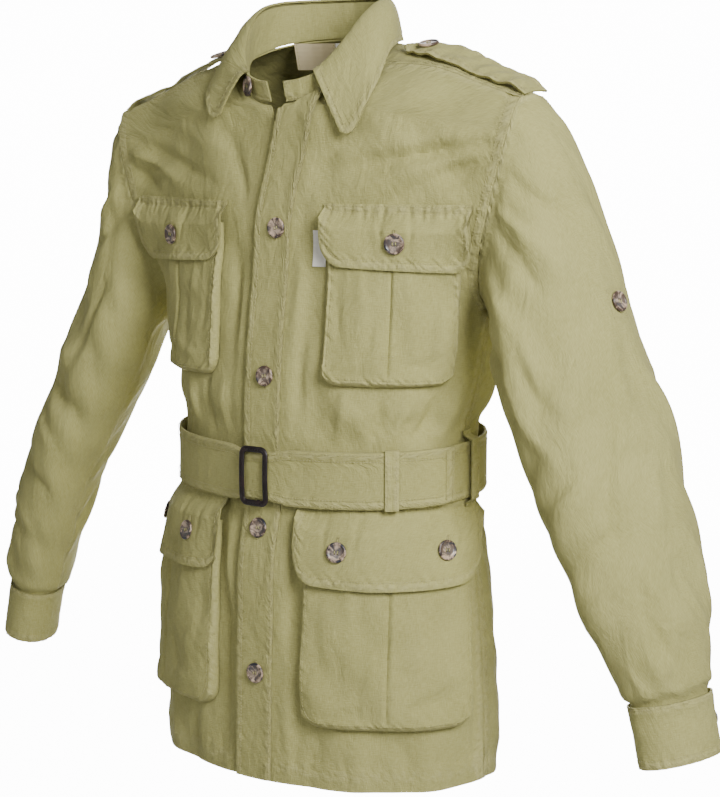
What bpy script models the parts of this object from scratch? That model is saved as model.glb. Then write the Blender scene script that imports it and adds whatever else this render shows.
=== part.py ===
"""A belted safari jacket in khaki cotton twill, filled out as if worn. Metres, +Z up.

The wearer faces -Y, and +X is the wearer's left. The origin is at the base of the neck, where the wearer holds
the jacket up. Every panel is a wall of cloth on a surface worked out from the tables below: a row of a trunk
table is one level curve from the centre line to the side, and a row of the sleeve table is one oval section.
What is sewn on a panel is made from the panel's own points, moved out along its normals.
"""

import math

import bmesh
import bpy
import mathutils
import numpy as np

CLOTH = 0.0016
# Two layers of cloth with a lining between, as in a cuff or a collar
DOUBLE_CLOTH = 0.0020
SEAM_GAP = 0.0008
ON_PANEL = 0.0011

HEM_Z = -0.725
WAIST_Z = -0.421
ARMPIT_Z = -0.275
NECK_Z = -0.070

# Level sections of the trunk: height, half width, front y, back y, side y
TRUNK_SECTIONS = (
    (HEM_Z, 0.183, -0.138, 0.110, -0.014),
    (-0.650, 0.182, -0.137, 0.109, -0.014),
    (-0.570, 0.177, -0.135, 0.106, -0.014),
    (-0.505, 0.169, -0.131, 0.101, -0.014),
    (-0.476, 0.1615, -0.1245, 0.095, -0.014),
    (-0.462, 0.159, -0.1215, 0.0925, -0.014),
    (-0.451, 0.159, -0.1215, 0.0925, -0.014),
    (-0.392, 0.159, -0.1210, 0.0925, -0.014),
    (-0.378, 0.159, -0.1210, 0.0925, -0.014),
    (-0.362, 0.1645, -0.1215, 0.097, -0.013),
    (-0.330, 0.172, -0.1190, 0.105, -0.012),
    (ARMPIT_Z, 0.180, -0.1120, 0.111, -0.010),
)
# Front above the armpit: centre x, y, z, armhole edge x, y, z, turn of the cloth there in degrees, rise
FRONT_TOP = (
    (0.000, -0.1080, -0.250, 0.1860, -0.034, -0.250, 75, 0.000),
    (0.000, -0.1040, -0.218, 0.1970, -0.054, -0.218, 58, 0.000),
    (0.000, -0.1015, -0.178, 0.2110, -0.064, -0.178, 45, 0.000),
    (0.000, -0.0990, -0.138, 0.2220, -0.065, -0.138, 38, 0.001),
    (0.000, -0.0975, -0.110, 0.2265, -0.0645, -0.122, 36, 0.003),
    (0.000, -0.0970, -0.082, 0.2295, -0.0635, -0.108, 35, 0.007),
    (0.025, -0.0935, -0.0755, 0.2320, -0.0610, -0.096, 33, 0.009),
    (0.047, -0.0820, -0.0640, 0.2345, -0.0570, -0.083, 30, 0.0125),
    (0.068, -0.0570, -0.0420, 0.2360, -0.0500, -0.071, 26, 0.0150),
)
# Back above the armpit: centre y, z, armhole edge x, y, z, turn in degrees
BACK_TOP = (
    (0.1120, -0.250, 0.1890, 0.018, -0.250, 74),
    (0.1115, -0.220, 0.2010, 0.036, -0.220, 58),
    (0.1090, -0.190, 0.2120, 0.043, -0.190, 48),
    (0.1040, -0.162, 0.2200, 0.044, -0.164, 42),
)
# Yoke, from the front shoulder seam to the centre back: neck x, y, z, outer x, y, z, angle of the cloth leaving the
# neck, its fall there, angle of the cloth at the outer edge, its fall there
YOKE_ROWS = (
    (0.0680, -0.0570, -0.0416, 0.2360, -0.0500, -0.0706, 0, -0.06, 0, 0.42),
    (0.0735, -0.0400, -0.0310, 0.2405, -0.0300, -0.0680, 0, -0.06, 0, 0.38),
    (0.0735, -0.0240, -0.0260, 0.2410, -0.0080, -0.0740, 8, -0.03, 0, 0.54),
    (0.0690, -0.0070, -0.0210, 0.2370, 0.0160, -0.0960, 20, 0.00, 10, 0.90),
    (0.0610, 0.0060, -0.0175, 0.2300, 0.0330, -0.1270, 34, 0.15, 20, 1.40),
    (0.0500, 0.0165, -0.0150, 0.2200, 0.0440, -0.1620, 46, 0.35, 35, 2.20),
    (0.0360, 0.0250, -0.0135, 0.1500, 0.0780, -0.1610, 60, 0.55, 60, 3.00),
    (0.0190, 0.0300, -0.0125, 0.0750, 0.0980, -0.1602, 76, 0.65, 80, 4.00),
    (0.0000, 0.0315, -0.0120, 0.0000, 0.1040, -0.1600, 90, 0.70, 90, 4.00),
)
# Collar, from a front end to the centre back: foot of the stand x, y, z, fold line x, y, z, edge of the fall x, y, z
COLLAR_ROWS = (
    (0.0075, -0.1000, -0.0775, 0.0100, -0.1025, -0.0560, 0.0100, -0.1040, -0.0700),
    (0.0250, -0.0965, -0.0725, 0.0260, -0.0990, -0.0535, 0.0500, -0.1040, -0.0880),
    (0.0420, -0.0875, -0.0640, 0.0420, -0.0915, -0.0465, 0.0830, -0.1025, -0.1040),
    (0.0570, -0.0725, -0.0520, 0.0575, -0.0755, -0.0250, 0.0985, -0.0950, -0.0790),
    (0.0670, -0.0560, -0.0400, 0.0655, -0.0530, 0.0000, 0.1030, -0.0800, -0.0560),
    (0.0725, -0.0390, -0.0290, 0.0675, -0.0350, 0.0120, 0.0985, -0.0560, -0.0310),
    (0.0700, -0.0110, -0.0205, 0.0640, -0.0110, 0.0190, 0.0860, -0.0200, -0.0190),
    (0.0550, 0.0120, -0.0150, 0.0510, 0.0090, 0.0215, 0.0690, 0.0130, -0.0160),
    (0.0330, 0.0260, -0.0120, 0.0320, 0.0230, 0.0225, 0.0380, 0.0355, -0.0165),
    (0.0000, 0.0315, -0.0110, 0.0000, 0.0300, 0.0230, 0.0000, 0.0420, -0.0165),
)
# Columns of each half of the collar, and how many of them the stand goes on in front of the leaf
COLLAR_COLUMNS = 14
LEAF_STARTS = 2
# How much closer in and higher the right leaf's point lies than the left one's
RIGHT_POINT_SHIFT = (-0.0120, 0.0160)
# Left epaulette, from the sleeve seam to its point: distance from the centre, y, height, half width, slope towards
# the back
EPAULETTE_ROWS = (
    (0.2380, -0.0230, -0.0648, 0.0205, 0.08),
    (0.2250, -0.0230, -0.0552, 0.0205, 0.14),
    (0.2050, -0.0240, -0.0485, 0.0205, 0.20),
    (0.1850, -0.0250, -0.0415, 0.0205, 0.25),
    (0.1650, -0.0260, -0.0330, 0.0200, 0.30),
    (0.1450, -0.0270, -0.0260, 0.0200, 0.30),
    (0.1250, -0.0280, -0.0225, 0.0195, 0.30),
    (0.1100, -0.0280, -0.0220, 0.0150, 0.30),
    (0.1000, -0.0280, -0.0220, 0.0040, 0.30),
)
EPAULETTE_CLOTH = 0.0020
EPAULETTE_BOW = 0.0020
EPAULETTE_BUTTON_AT = (0.1250, -0.0280, -0.0224)
EPAULETTE_BUTTON_ROW = 6
# Left sleeve below the armhole: section centre x, y, z, long half axis, short half axis
SLEEVE_SECTIONS = (
    (0.2680, -0.016, -0.295, 0.0780, 0.0490),
    (0.2870, -0.016, -0.345, 0.0775, 0.0500),
    (0.3090, -0.017, -0.400, 0.0750, 0.0465),
    (0.3340, -0.018, -0.460, 0.0720, 0.0425),
    (0.3550, -0.019, -0.515, 0.0660, 0.0390),
    (0.3690, -0.020, -0.560, 0.0545, 0.0355),
    (0.3770, -0.020, -0.588, 0.0470, 0.0340),
    (0.3800, -0.020, -0.600, 0.0440, 0.0325),
    (0.3815, -0.020, -0.6055, 0.0392, 0.0266),
    (0.3825, -0.020, -0.6110, 0.0385, 0.0258),
    (0.3840, -0.020, -0.6180, 0.0385, 0.0258),
)
CUFF_SECTIONS = (
    (0.3825, -0.020, -0.6085, 0.0421, 0.0296),
    (0.3880, -0.020, -0.6340, 0.0415, 0.0290),
    (0.3950, -0.020, -0.6640, 0.0410, 0.0285),
)
CUFF_BUTTON_COLUMN = 14
SLEEVE_TURN = math.radians(60)
SLEEVE_COLUMNS = 20
# Rows of the dense sleeve that the wall is made from, closer at the cuff, where it is gathered in
SLEEVE_ROWS = (0, 3, 7, 11, 16, 21, 26, 31, 36, 41, 46, 51, 56, 61, 66, 71, 75, 79, 81, 82, 83, 84, 85, 87)
SLEEVE_BUTTON_Z = -0.258
RIGHT_ARM_OUT = 0.020
SHOULDER_DROP = 0.013
HEAD_DRAWN_IN = 0.011

# Heights of the level rows of points in the trunk's walls, closer where the waist is drawn in
LEVELS = (HEM_Z, -0.680, -0.635, -0.590, -0.550, -0.515, -0.490, -0.475, -0.462, -0.451, -0.421, -0.392, -0.378,
          -0.366, -0.350, -0.315, ARMPIT_Z)

PLACKET_WIDTH = 0.041
PLACKET_TOP_SHIFT = 0.0275
PLACKET_SLANT_FROM = -0.120
OVERLAP_GAP = 0.0011
PLACKET_LIFT = 2 * CLOTH + OVERLAP_GAP + 0.0008
FIRST_BUTTON_Z = -0.193
# Front buttons: height, place across the placket from its middle as a share of its half width
FRONT_BUTTONS = ((FIRST_BUTTON_Z, 0.30), (-0.333, 0.20), (-0.480, 0.0), (-0.619, 0.18))

# Patch pockets, on each front: inner edge, outer edge along the cloth from the centre, top, bottom, fullness
POCKETS = {
    "chest": (0.063, 0.190, -0.190, -0.338, 0.008),
    "lower": (0.052, 0.220, -0.479, -0.664, 0.010),
}
# Extra height of a flap over its seam: the lower ones pass under the belt over the front's rounder part
FLAP_SEAM_LIFT = {"chest": 0.0, "lower": 0.0014}
# Flaps: inner edge, outer edge, top, bottom at the sides, bottom at the middle, distances of the buttons from the
# centre line
FLAPS = {
    "chest": (0.058, 0.203, -0.169, -0.226, -0.229, (0.131,)),
    "lower": (0.041, 0.227, -0.4475, -0.524, -0.529, (0.087, 0.182)),
}
FLAP_BUTTON_Z = {"chest": -0.2035, "lower": -0.4955}

LABEL_CLOTH = 0.0008
NECK_LABELS = (
    ("neck_label", -0.058, -0.022, -0.0165, -0.0425, "label"),
    ("care_label", -0.0212, -0.0082, -0.0165, -0.0285, "white_label"),
)
# Line that the neck labels hang from: distance from the centre line, y
NECK_LABEL_LINE = ((0.0, 0.0275), (0.019, 0.0262), (0.036, 0.0229), (0.046, 0.0182), (0.052, 0.0128), (0.058, 0.0063))
NECK_LABEL_COLUMNS = 8
# Tab at the left chest pocket: inner and outer edge along the cloth, top and bottom
POCKET_LABEL = (0.0465, 0.0600, -0.194, -0.228)

BELT_HEIGHT = 0.054
BELT_AT_BUCKLE = 0.046
BELT_CLOTH = 0.0018
BELT_TAIL_AT = 0.188
KEEPER_AT = 0.130
BUCKLE_WIDTH, BUCKLE_HEIGHT, BUCKLE_BAR = 0.034, 0.058, 0.0052
BUCKLE_CORNER, BUCKLE_DEPTH, BUCKLE_MIDDLE_BAR = 0.0055, 0.0034, 0.0088
# Half the width of the keeper and of a belt loop along the belt, and the thickness of each
KEEPER_HALF, KEEPER_CLOTH, KEEPER_INNER = 0.006, 0.0012, 0.0054
LOOP_HALF, LOOP_CLOTH = 0.006, 0.0013
# How far a loop's lower foot stands off the panel at the sides, over the flaps, and at the back
LOOP_FOOT = {"side": 0.0042, "back": 0.0010}

BUTTON_RADIUS, BUTTON_THICK = 0.0098, 0.0030

FINISHES = {
    "twill": ((0.36, 0.33, 0.18), 0.85, 0.0),
    "horn": ((0.10, 0.09, 0.09), 0.35, 0.0),
    "leather": ((0.05, 0.03, 0.035), 0.45, 0.0),
    "label": ((0.62, 0.55, 0.40), 0.8, 0.0),
    "white_label": ((0.8, 0.8, 0.78), 0.8, 0.0),
}

# Largest folds of a front: start along the cloth and height, end along the cloth and height, half width, height of
# the fold
FRONT_FOLDS = (
    (0.190, -0.300, 0.160, -0.385, 0.016, -0.0040),
    (0.215, -0.330, 0.205, -0.385, 0.012, 0.0035),
    (0.060, -0.335, 0.050, -0.385, 0.014, -0.0030),
    (0.095, -0.360, 0.100, -0.385, 0.010, 0.0025),
    (0.044, -0.470, 0.048, -0.700, 0.018, -0.0030),
    (0.230, -0.170, 0.150, -0.120, 0.014, -0.0030),
)
BACK_FOLDS = (
    (0.060, -0.300, 0.075, -0.385, 0.016, 0.0040),
    (0.120, -0.290, 0.105, -0.385, 0.018, -0.0040),
    (0.190, -0.310, 0.180, -0.385, 0.014, 0.0040),
    (0.040, -0.470, 0.045, -0.715, 0.022, 0.0050),
    (0.130, -0.480, 0.140, -0.715, 0.025, -0.0050),
)
# Largest folds of a sleeve: start round the arm and down it, end round the arm and down it, half width, height of
# the fold
SLEEVE_FOLDS = (
    (0.080, 0.060, 0.120, 0.190, 0.016, -0.0060),
    (0.050, 0.200, 0.130, 0.260, 0.013, -0.0050),
    (0.040, 0.270, 0.140, 0.320, 0.014, 0.0050),
    (0.110, 0.300, 0.190, 0.350, 0.012, -0.0045),
    (0.200, 0.260, 0.260, 0.330, 0.015, 0.0045),
    (0.300, 0.080, 0.330, 0.200, 0.018, -0.0060),
    (0.290, 0.250, 0.340, 0.330, 0.014, -0.0050),
    (0.160, 0.440, 0.170, 0.500, 0.010, -0.0035),
    (0.080, 0.450, 0.085, 0.500, 0.010, 0.0035),
)


def smooth(knots, rows, at):
    """Cubic curves through the rows of a table that never swing past them."""
    rows = np.asarray(rows, float)
    slopes = np.gradient(rows, knots, axis=0)
    steps = np.diff(rows, axis=0) / np.diff(knots)[:, None]
    before, after = np.vstack([steps[:1], steps]), np.vstack([steps, steps[-1:]])
    most = 3 * np.minimum(abs(before), abs(after)) * (before * after > 0)
    slopes = np.clip(slopes, -most, most)
    first = np.clip(np.searchsorted(knots, at) - 1, 0, len(knots) - 2)
    span = (knots[first + 1] - knots[first])[:, None]
    f = (at - knots[first])[:, None] / span
    start, end = rows[first], rows[first + 1]
    return (
        (2 * f**3 - 3 * f**2 + 1) * start
        + (f**3 - 2 * f**2 + f) * span * slopes[first]
        + (3 * f**2 - 2 * f**3) * end
        + (f**3 - f**2) * span * slopes[first + 1]
    )


def travel(points):
    """Distance along each line of points."""
    steps = np.linalg.norm(np.diff(points, axis=-2), axis=-1)
    return np.concatenate([np.zeros(steps.shape[:-1] + (1,)), np.cumsum(steps, axis=-1)], axis=-1)


def cubic(p0, p1, p2, p3, count):
    """Evenly spaced points along a cubic curve."""
    f = np.linspace(0, 1, 48)[:, None]
    line = (1 - f) ** 3 * p0 + 3 * f * (1 - f) ** 2 * p1 + 3 * f**2 * (1 - f) * p2 + f**3 * p3
    length = travel(line)
    at = np.linspace(0, length[-1], count)
    return np.stack([np.interp(at, length, line[:, axis]) for axis in range(3)], axis=1)


def table_rows(table, keys, count):
    """A table's rows, made dense and evenly spaced by a distance column."""
    knots = np.concatenate([[0], np.cumsum(keys)])
    return smooth(knots, table, np.linspace(0, knots[-1], count))


def level_curve(row, count):
    """One curve of a panel: centre x, y, z, edge x, y, z, turn at the edge in degrees, rise in its middle."""
    centre, edge, turn, rise = row[0:3], row[3:6], math.radians(row[6]), row[7]
    full = 0.60
    run = edge - centre
    lift = np.array([0, 0, rise])
    near = centre + np.array([full * run[0], 0, run[2] / 3]) + lift
    hold = np.array([math.cos(turn) * run[0], math.sin(turn) * run[1], 0]) * full
    far = edge - hold - np.array([0, 0, run[2] / 3]) + lift
    return cubic(centre, near, far, edge, count)


class Surface:
    """A panel's outer face: rows of points, read between them by two fractions."""

    def __init__(self, points, axis, folds=(), fold_lengths=None):
        self.points = points
        self.normals = normals_of(points, axis)
        if len(folds):
            along = fold_lengths[0]
            fade = np.clip((along[:, -1:] - along) / 0.03, 0, 1)
            self.points = points + self.normals * (fold_height(folds, *fold_lengths) * fade)[..., None]
            self.normals = normals_of(self.points, axis)

    def read(self, grid, s, t):
        rows, columns = grid.shape[:2]
        s, t = np.broadcast_arrays(np.asarray(s, float), np.asarray(t, float))
        u, v = s * (columns - 1), t * (rows - 1)
        i = np.clip(np.floor(u).astype(int), 0, columns - 2)
        j = np.clip(np.floor(v).astype(int), 0, rows - 2)
        fu, fv = (u - i)[..., None], (v - j)[..., None]
        near = grid[j, i] * (1 - fu) + grid[j, i + 1] * fu
        far = grid[j + 1, i] * (1 - fu) + grid[j + 1, i + 1] * fu
        return near * (1 - fv) + far * fv

    def at(self, s, t, lift=0.0):
        """Points of the surface, moved out by lift."""
        normal = self.read(self.normals, s, t)
        normal = normal / np.linalg.norm(normal, axis=-1, keepdims=True)
        return self.read(self.points, s, t) + normal * np.asarray(lift)[..., None]

    def find(self, x, z):
        """The fractions of the points that have this x and z."""
        x, z = np.broadcast_arrays(np.asarray(x, float), np.asarray(z, float))
        heights = self.points[:, 0, 2]
        t = np.interp(z, heights, np.linspace(0, 1, len(heights)))
        s = x / 0.25
        step = 1e-3
        for _ in range(12):
            here = self.at(s, t)
            along_s = (self.at(s + step, t) - here) / step
            along_t = (self.at(s, t + step) - here) / step
            dx, dz = x - here[..., 0], z - here[..., 2]
            det = along_s[..., 0] * along_t[..., 2] - along_t[..., 0] * along_s[..., 2]
            s = s + 0.8 * (dx * along_t[..., 2] - dz * along_t[..., 0]) / det
            t = t + 0.8 * (dz * along_s[..., 0] - dx * along_s[..., 2]) / det
        return s, t

    def place(self, along, z):
        """The fractions of the points this far along the cloth from the centre line, at this height."""
        along, z = np.broadcast_arrays(np.asarray(along, float), np.asarray(z, float))
        fractions = np.linspace(0, 1, len(self.points))
        t = np.interp(z, self.points[:, 0, 2], fractions)
        length = np.interp(t, fractions, travel(self.points)[:, -1])
        return along / length, t


def normals_of(grid, axis, closed=False):
    """Unit normals of a grid of points, facing away from an axis point given for each row."""
    if closed:
        along = np.roll(grid, -1, axis=1) - np.roll(grid, 1, axis=1)
    else:
        along = np.gradient(grid, axis=1)
    up = np.gradient(grid, axis=0)
    normal = np.cross(along, up)
    normal /= np.linalg.norm(normal, axis=-1, keepdims=True)
    outward = grid - axis
    return normal * np.where((normal * outward).sum() < 0, -1, 1)


def fold_height(folds, along, down):
    """Height added by a table of folds at points given by two lengths."""
    height = np.zeros(np.broadcast(along, down).shape)
    for a0, d0, a1, d1, half, depth in folds:
        run = np.array([a1 - a0, d1 - d0])
        f = ((along - a0) * run[0] + (down - d0) * run[1]) / (run @ run)
        inside = np.clip(f, 0, 1)
        off = np.hypot(along - a0 - inside * run[0], down - d0 - inside * run[1])
        height += depth * np.exp(-((off / half) ** 2)) * np.sin(np.pi * np.clip(0.15 + 0.7 * f, 0, 1))
    return height


def trunk_axis(points):
    """A point inside the trunk for each point of a grid."""
    return points * np.array([0, 0, 1]) + np.array([0, -0.01, 0])


def front_surface():
    rows = [(0, y, z, w, side, z, 90, 0) for z, w, y, _, side in TRUNK_SECTIONS]
    rows += list(FRONT_TOP)
    rows = np.array(rows, float)
    keys = np.linalg.norm(np.diff(rows[:, 3:6], axis=0), axis=1)
    dense = table_rows(rows, keys, 121)
    points = np.stack([level_curve(row, 49) for row in dense])
    return Surface(points, trunk_axis(points), FRONT_FOLDS, (travel(points), points[..., 2]))


def back_surface():
    rows = [(0, y, z, w, side, z, 90, 0) for z, w, _, y, side in TRUNK_SECTIONS]
    rows += [(0, y, z, ex, ey, ez, turn, 0) for y, z, ex, ey, ez, turn in BACK_TOP]
    rows = np.array(rows, float)
    keys = np.linalg.norm(np.diff(rows[:, 3:6], axis=0), axis=1)
    dense = table_rows(rows, keys, 97)
    points = np.stack([level_curve(row, 49) for row in dense])
    return Surface(points, trunk_axis(points), BACK_FOLDS, (travel(points), points[..., 2]))


def yoke_surface(front):
    """Rows go from the left front shoulder seam round the neck to the centre back; columns from the neck outwards."""
    rows = np.array(YOKE_ROWS, float)
    keys = np.linalg.norm(np.diff(rows[:, 3:6], axis=0), axis=1)
    dense = table_rows(rows, keys, 61)
    curves = []
    for row in dense:
        neck, outer = row[0:3], row[3:6]
        reach = np.linalg.norm(outer - neck) * 0.36
        leave, arrive = math.radians(row[6]), math.radians(row[8])
        first = np.array([math.cos(leave), math.sin(leave), -row[7]])
        last = np.array([math.cos(arrive), math.sin(arrive), -row[9]])
        first *= reach / np.linalg.norm(first)
        last *= reach / np.linalg.norm(last)
        curves.append(cubic(neck, neck + first, outer - last, outer, 41))
    points = np.stack(curves)
    top = front.points[-1]
    length = travel(top)
    at = np.linspace(0, length[-1], points.shape[1])
    seam = np.stack([np.interp(at, length, top[:, axis]) for axis in range(3)], axis=1)
    points = points + (seam - points[0]) * ease(1 - np.arange(len(points)) / 14)[:, None, None]
    return Surface(points, points * np.array([1, 0, 0]) * 0.5 + np.array([0, 0, -0.25]))


def armhole_line(front, back, yoke, count):
    """The seam line round the left armhole, from the armpit up the front and down the back."""
    first = np.argmin(abs(front.points[:, -1, 2] - ARMPIT_Z))
    corner = np.argmin(np.linalg.norm(yoke.points[:, -1] - back.points[-1, -1], axis=1))
    last = np.argmin(abs(back.points[:, -1, 2] - ARMPIT_Z))
    line = np.concatenate(
        [front.points[first:, -1], yoke.points[1:corner, -1], back.points[last + 1 :, -1][::-1]]
    )
    line = np.concatenate([line, line[:1]])
    length = travel(line)
    at = np.linspace(0, length[-1], count + 1)[:-1]
    return np.stack([np.interp(at, length, line[:, axis]) for axis in range(3)], axis=1)


def oval(centre, down, long_half, short_half, count):
    """An oval section across the arm, from its inner side round the front."""
    turn = np.array([math.cos(SLEEVE_TURN), math.sin(SLEEVE_TURN), 0])
    turn = turn - down * (turn @ down)
    turn /= np.linalg.norm(turn)
    across = np.cross(turn, down)
    across *= np.sign(across @ np.array([-math.sin(SLEEVE_TURN), math.cos(SLEEVE_TURN), 0]))
    angle = math.pi + np.arange(count) / count * 2 * math.pi - SLEEVE_TURN
    return centre + long_half * np.cos(angle)[:, None] * turn + short_half * np.sin(angle)[:, None] * across


def oval_tube(sections, rows, count):
    """Ovals along a table of sections, with the distance of each down the arm."""
    table = np.array(sections, float)
    keys = np.linalg.norm(np.diff(table[:, :3], axis=0), axis=1)
    dense = table_rows(table, keys, rows)
    axis = np.gradient(dense[:, :3], axis=0)
    axis /= np.linalg.norm(axis, axis=1, keepdims=True)
    return np.stack([oval(row[:3], down, row[3], row[4], count) for row, down in zip(dense, axis)]), axis


def sleeve_points(seam, count):
    """The left sleeve's outer face: the cap curves from the armhole over to the first oval, then ovals to the cuff."""
    arm, axis = oval_tube(SLEEVE_SECTIONS, 56, count)
    top = arm[0]
    lean = np.array([0.36, -0.08, -0.93])
    start = seam + np.array([2 * SEAM_GAP, 0, 0])
    high = np.clip((seam[:, 2] - ARMPIT_Z) / 0.2, 0, 1)[:, None]
    leave = (1 - high) * np.array([0.62, 0, -0.78]) + high * np.array([0.66, 0, -0.75])
    front = np.clip((-0.015 - seam[:, 1:2]) / 0.04, 0, 1) * high
    leave = leave - front * np.array([0.30, 0, 0])
    leave /= np.linalg.norm(leave, axis=1, keepdims=True)
    reach = np.linalg.norm(top - start, axis=1)[:, None]
    cap = []
    for f in np.linspace(0, 1, 33)[:-1]:
        cap.append(
            (2 * f**3 - 3 * f**2 + 1) * start
            + (f**3 - 2 * f**2 + f) * reach * 0.95 * leave
            + (3 * f**2 - 2 * f**3) * top
            + (f**3 - f**2) * reach * 1.05 * (0.5 * axis[0] + 0.5 * lean)
        )
    points = np.concatenate([np.stack(cap), arm])
    outward = points - points.mean(axis=1, keepdims=True)
    normal = normals_of(points, points.mean(axis=1, keepdims=True), closed=True)
    normal *= np.sign((normal * outward).sum())
    around = np.concatenate([np.zeros((len(points), 1)), np.cumsum(np.linalg.norm(
        np.diff(points, axis=1), axis=2), axis=1)], axis=1)
    down = travel(np.swapaxes(points, 0, 1)).T
    taper = np.clip((down.max(axis=0) - down) / 0.03, 0, 1) * np.clip(down / 0.02, 0, 1)
    return points + normal * (fold_height(SLEEVE_FOLDS, around, down) * taper)[..., None]


def grid_faces(rows, columns, closed):
    """Faces of a grid of points, four corners each."""
    faces = []
    for j in range(rows - 1):
        for i in range(columns if closed else columns - 1):
            k = (i + 1) % columns
            faces.append((j * columns + i, j * columns + k, (j + 1) * columns + k, (j + 1) * columns + i))
    return faces


def add_mesh(name, points, faces, finish):
    """A closed mesh object with its faces turned outwards."""
    mesh = bpy.data.meshes.new(name)
    mesh.from_pydata([tuple(map(float, p)) for p in settled(points)], [], faces)
    shape = bmesh.new()
    shape.from_mesh(mesh)
    bmesh.ops.recalc_face_normals(shape, faces=shape.faces)
    shape.to_mesh(mesh)
    shape.free()
    obj = bpy.data.objects.new(name, mesh)
    jacket_collection().objects.link(obj)
    mesh.materials.append(material(name, finish))
    return obj


def jacket_collection():
    found = bpy.data.collections.get("safari_jacket")
    if found is None:
        found = bpy.data.collections.new("safari_jacket")
        bpy.context.scene.collection.children.link(found)
    return found


def material(name, finish):
    """A Principled material of the piece's own, from the table of finishes."""
    colour, roughness, metallic = FINISHES[finish]
    made = bpy.data.materials.new(f"{finish}_{name}")
    made.use_nodes = True
    shader = made.node_tree.nodes["Principled BSDF"]
    shader.inputs["Base Color"].default_value = (*colour, 1)
    shader.inputs["Roughness"].default_value = roughness
    shader.inputs["Metallic"].default_value = metallic
    made.diffuse_color = (*colour, 1)
    return made


def ease(share):
    """A smooth step from 0 to 1."""
    share = np.clip(share, 0, 1)
    return share * share * (3 - 2 * share)


def settled(points):
    """Points of the whole jacket, moved so that the right shoulder hangs lower and its sleeve head closer in."""
    moved = np.array(points, float)
    x, z = moved[..., 0].copy(), moved[..., 2].copy()
    moved[..., 2] -= SHOULDER_DROP * ease((-x - 0.06) / 0.13) * ease((z + 0.165) / 0.09)
    moved[..., 0] += HEAD_DRAWN_IN * ease((-x - 0.225) / 0.05) * np.exp(-(((z + 0.18) / 0.07) ** 2))
    return moved


def mirrored(grid):
    return grid * np.array([-1, 1, 1])


def wall(name, outer, depth, finish, normals=None, closed=False, axis=None):
    """A sheet of cloth: a grid of points, and a second grid behind it, joined round the edges."""
    if normals is None:
        normals = normals_of(outer, axis, closed)
    inner = outer - normals * depth
    rows, columns = outer.shape[:2]
    faces = grid_faces(rows, columns, closed)
    shift = rows * columns
    faces += [tuple(shift + k for k in face) for face in faces]
    edges = []
    for j in (0, rows - 1):
        line = [j * columns + i for i in range(columns)]
        edges += list(zip(line, line[1:] + line[:1]))[: columns if closed else columns - 1]
    if not closed:
        for i in (0, columns - 1):
            line = [j * columns + i for j in range(rows)]
            edges += list(zip(line, line[1:]))
    faces += [(a, b, b + shift, a + shift) for a, b in edges]
    return add_mesh(name, np.concatenate([outer.reshape(-1, 3), inner.reshape(-1, 3)]), faces, finish)


def both_sides(name, outer, depth, finish, **options):
    """The same piece for the wearer's left and right."""
    wall(f"left_{name}", outer, depth, finish, **options)
    if options.get("normals") is not None:
        options["normals"] = mirrored(options["normals"])
    if options.get("axis") is not None:
        options["axis"] = mirrored(np.asarray(options["axis"]))
    wall(f"right_{name}", mirrored(outer), depth, finish, **options)


def placket_shift(z):
    """How far the front edges fall aside above the first button, where the collar is open."""
    return PLACKET_TOP_SHIFT * np.clip((np.asarray(z) - FIRST_BUTTON_Z) / 0.115, 0, 1.05) ** 1.3


def level_rows(surface):
    """Fractions of the rows used for the trunk's walls: closer where the waist is drawn in."""
    z = surface.points[:, -1, 2]
    lower = np.interp(LEVELS, z, np.linspace(0, 1, len(z)))
    neck = np.argmax(surface.points[:, 0, 0] > 0.0005) / (len(z) - 1)
    return np.concatenate([lower, np.linspace(lower[-1], neck, 7)[1:], np.linspace(neck, 1, 6)[1:]])


def front_grid(front, edge_x):
    """Fractions for a front panel from its free edge to the side; edge_x gives the free edge for each height."""
    t = level_rows(front)
    centre = front.at(np.zeros_like(t), t)
    length = np.interp(t, np.linspace(0, 1, len(front.points)), travel(front.points)[:, -1])
    on_neck = centre[:, 0] > 0.002
    start = np.where(on_neck, 0, edge_x(centre[:, 2]) / length)
    columns = np.linspace(0, 1, 13) ** 0.94
    s = start[:, None] + (1 - start[:, None]) * columns[None, :]
    return s, np.repeat(t[:, None], 13, axis=1)


def front_points(front, s, t, lift):
    """Points on a front; past the centre line they are the mirror image of the other side's."""
    points = front.at(abs(s), t, lift)
    points[..., 0] *= np.where(s < 0, -1, 1)
    normal = front.read(front.normals, abs(s), t)
    normal = normal / np.linalg.norm(normal, axis=-1, keepdims=True)
    normal[..., 0] *= np.where(s < 0, -1, 1)
    return points, normal


def square_side(normal, column):
    """Turns the side seam's normals straight outwards, so that the walls that meet there keep apart."""
    level = slice(0, len(LEVELS))
    normal[level, column, 1] = 0
    normal[level, column] /= np.linalg.norm(normal[level, column], axis=-1, keepdims=True)


def overlap_lift(across):
    """How far the left front is raised near its edge, where it laps over the right one."""
    return (CLOTH + OVERLAP_GAP) * np.clip(1 - (across - PLACKET_WIDTH / 2 - 0.008) / 0.03, 0, 1)


def make_fronts(front):
    half = PLACKET_WIDTH / 2
    s, t = front_grid(front, lambda z: placket_shift(z) - half)
    across = front.at(abs(s), t)[..., 0] * np.sign(s)
    points, normal = front_points(front, s, t, overlap_lift(across))
    square_side(normal, -1)
    wall("left_front", points, CLOTH, "twill", normals=normal)
    s, t = front_grid(front, lambda z: placket_shift(z) - half + 0.001)
    points, normal = front_points(front, s, t, np.zeros_like(s))
    square_side(normal, -1)
    wall("right_front", mirrored(points), CLOTH, "twill", normals=mirrored(normal))


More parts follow.
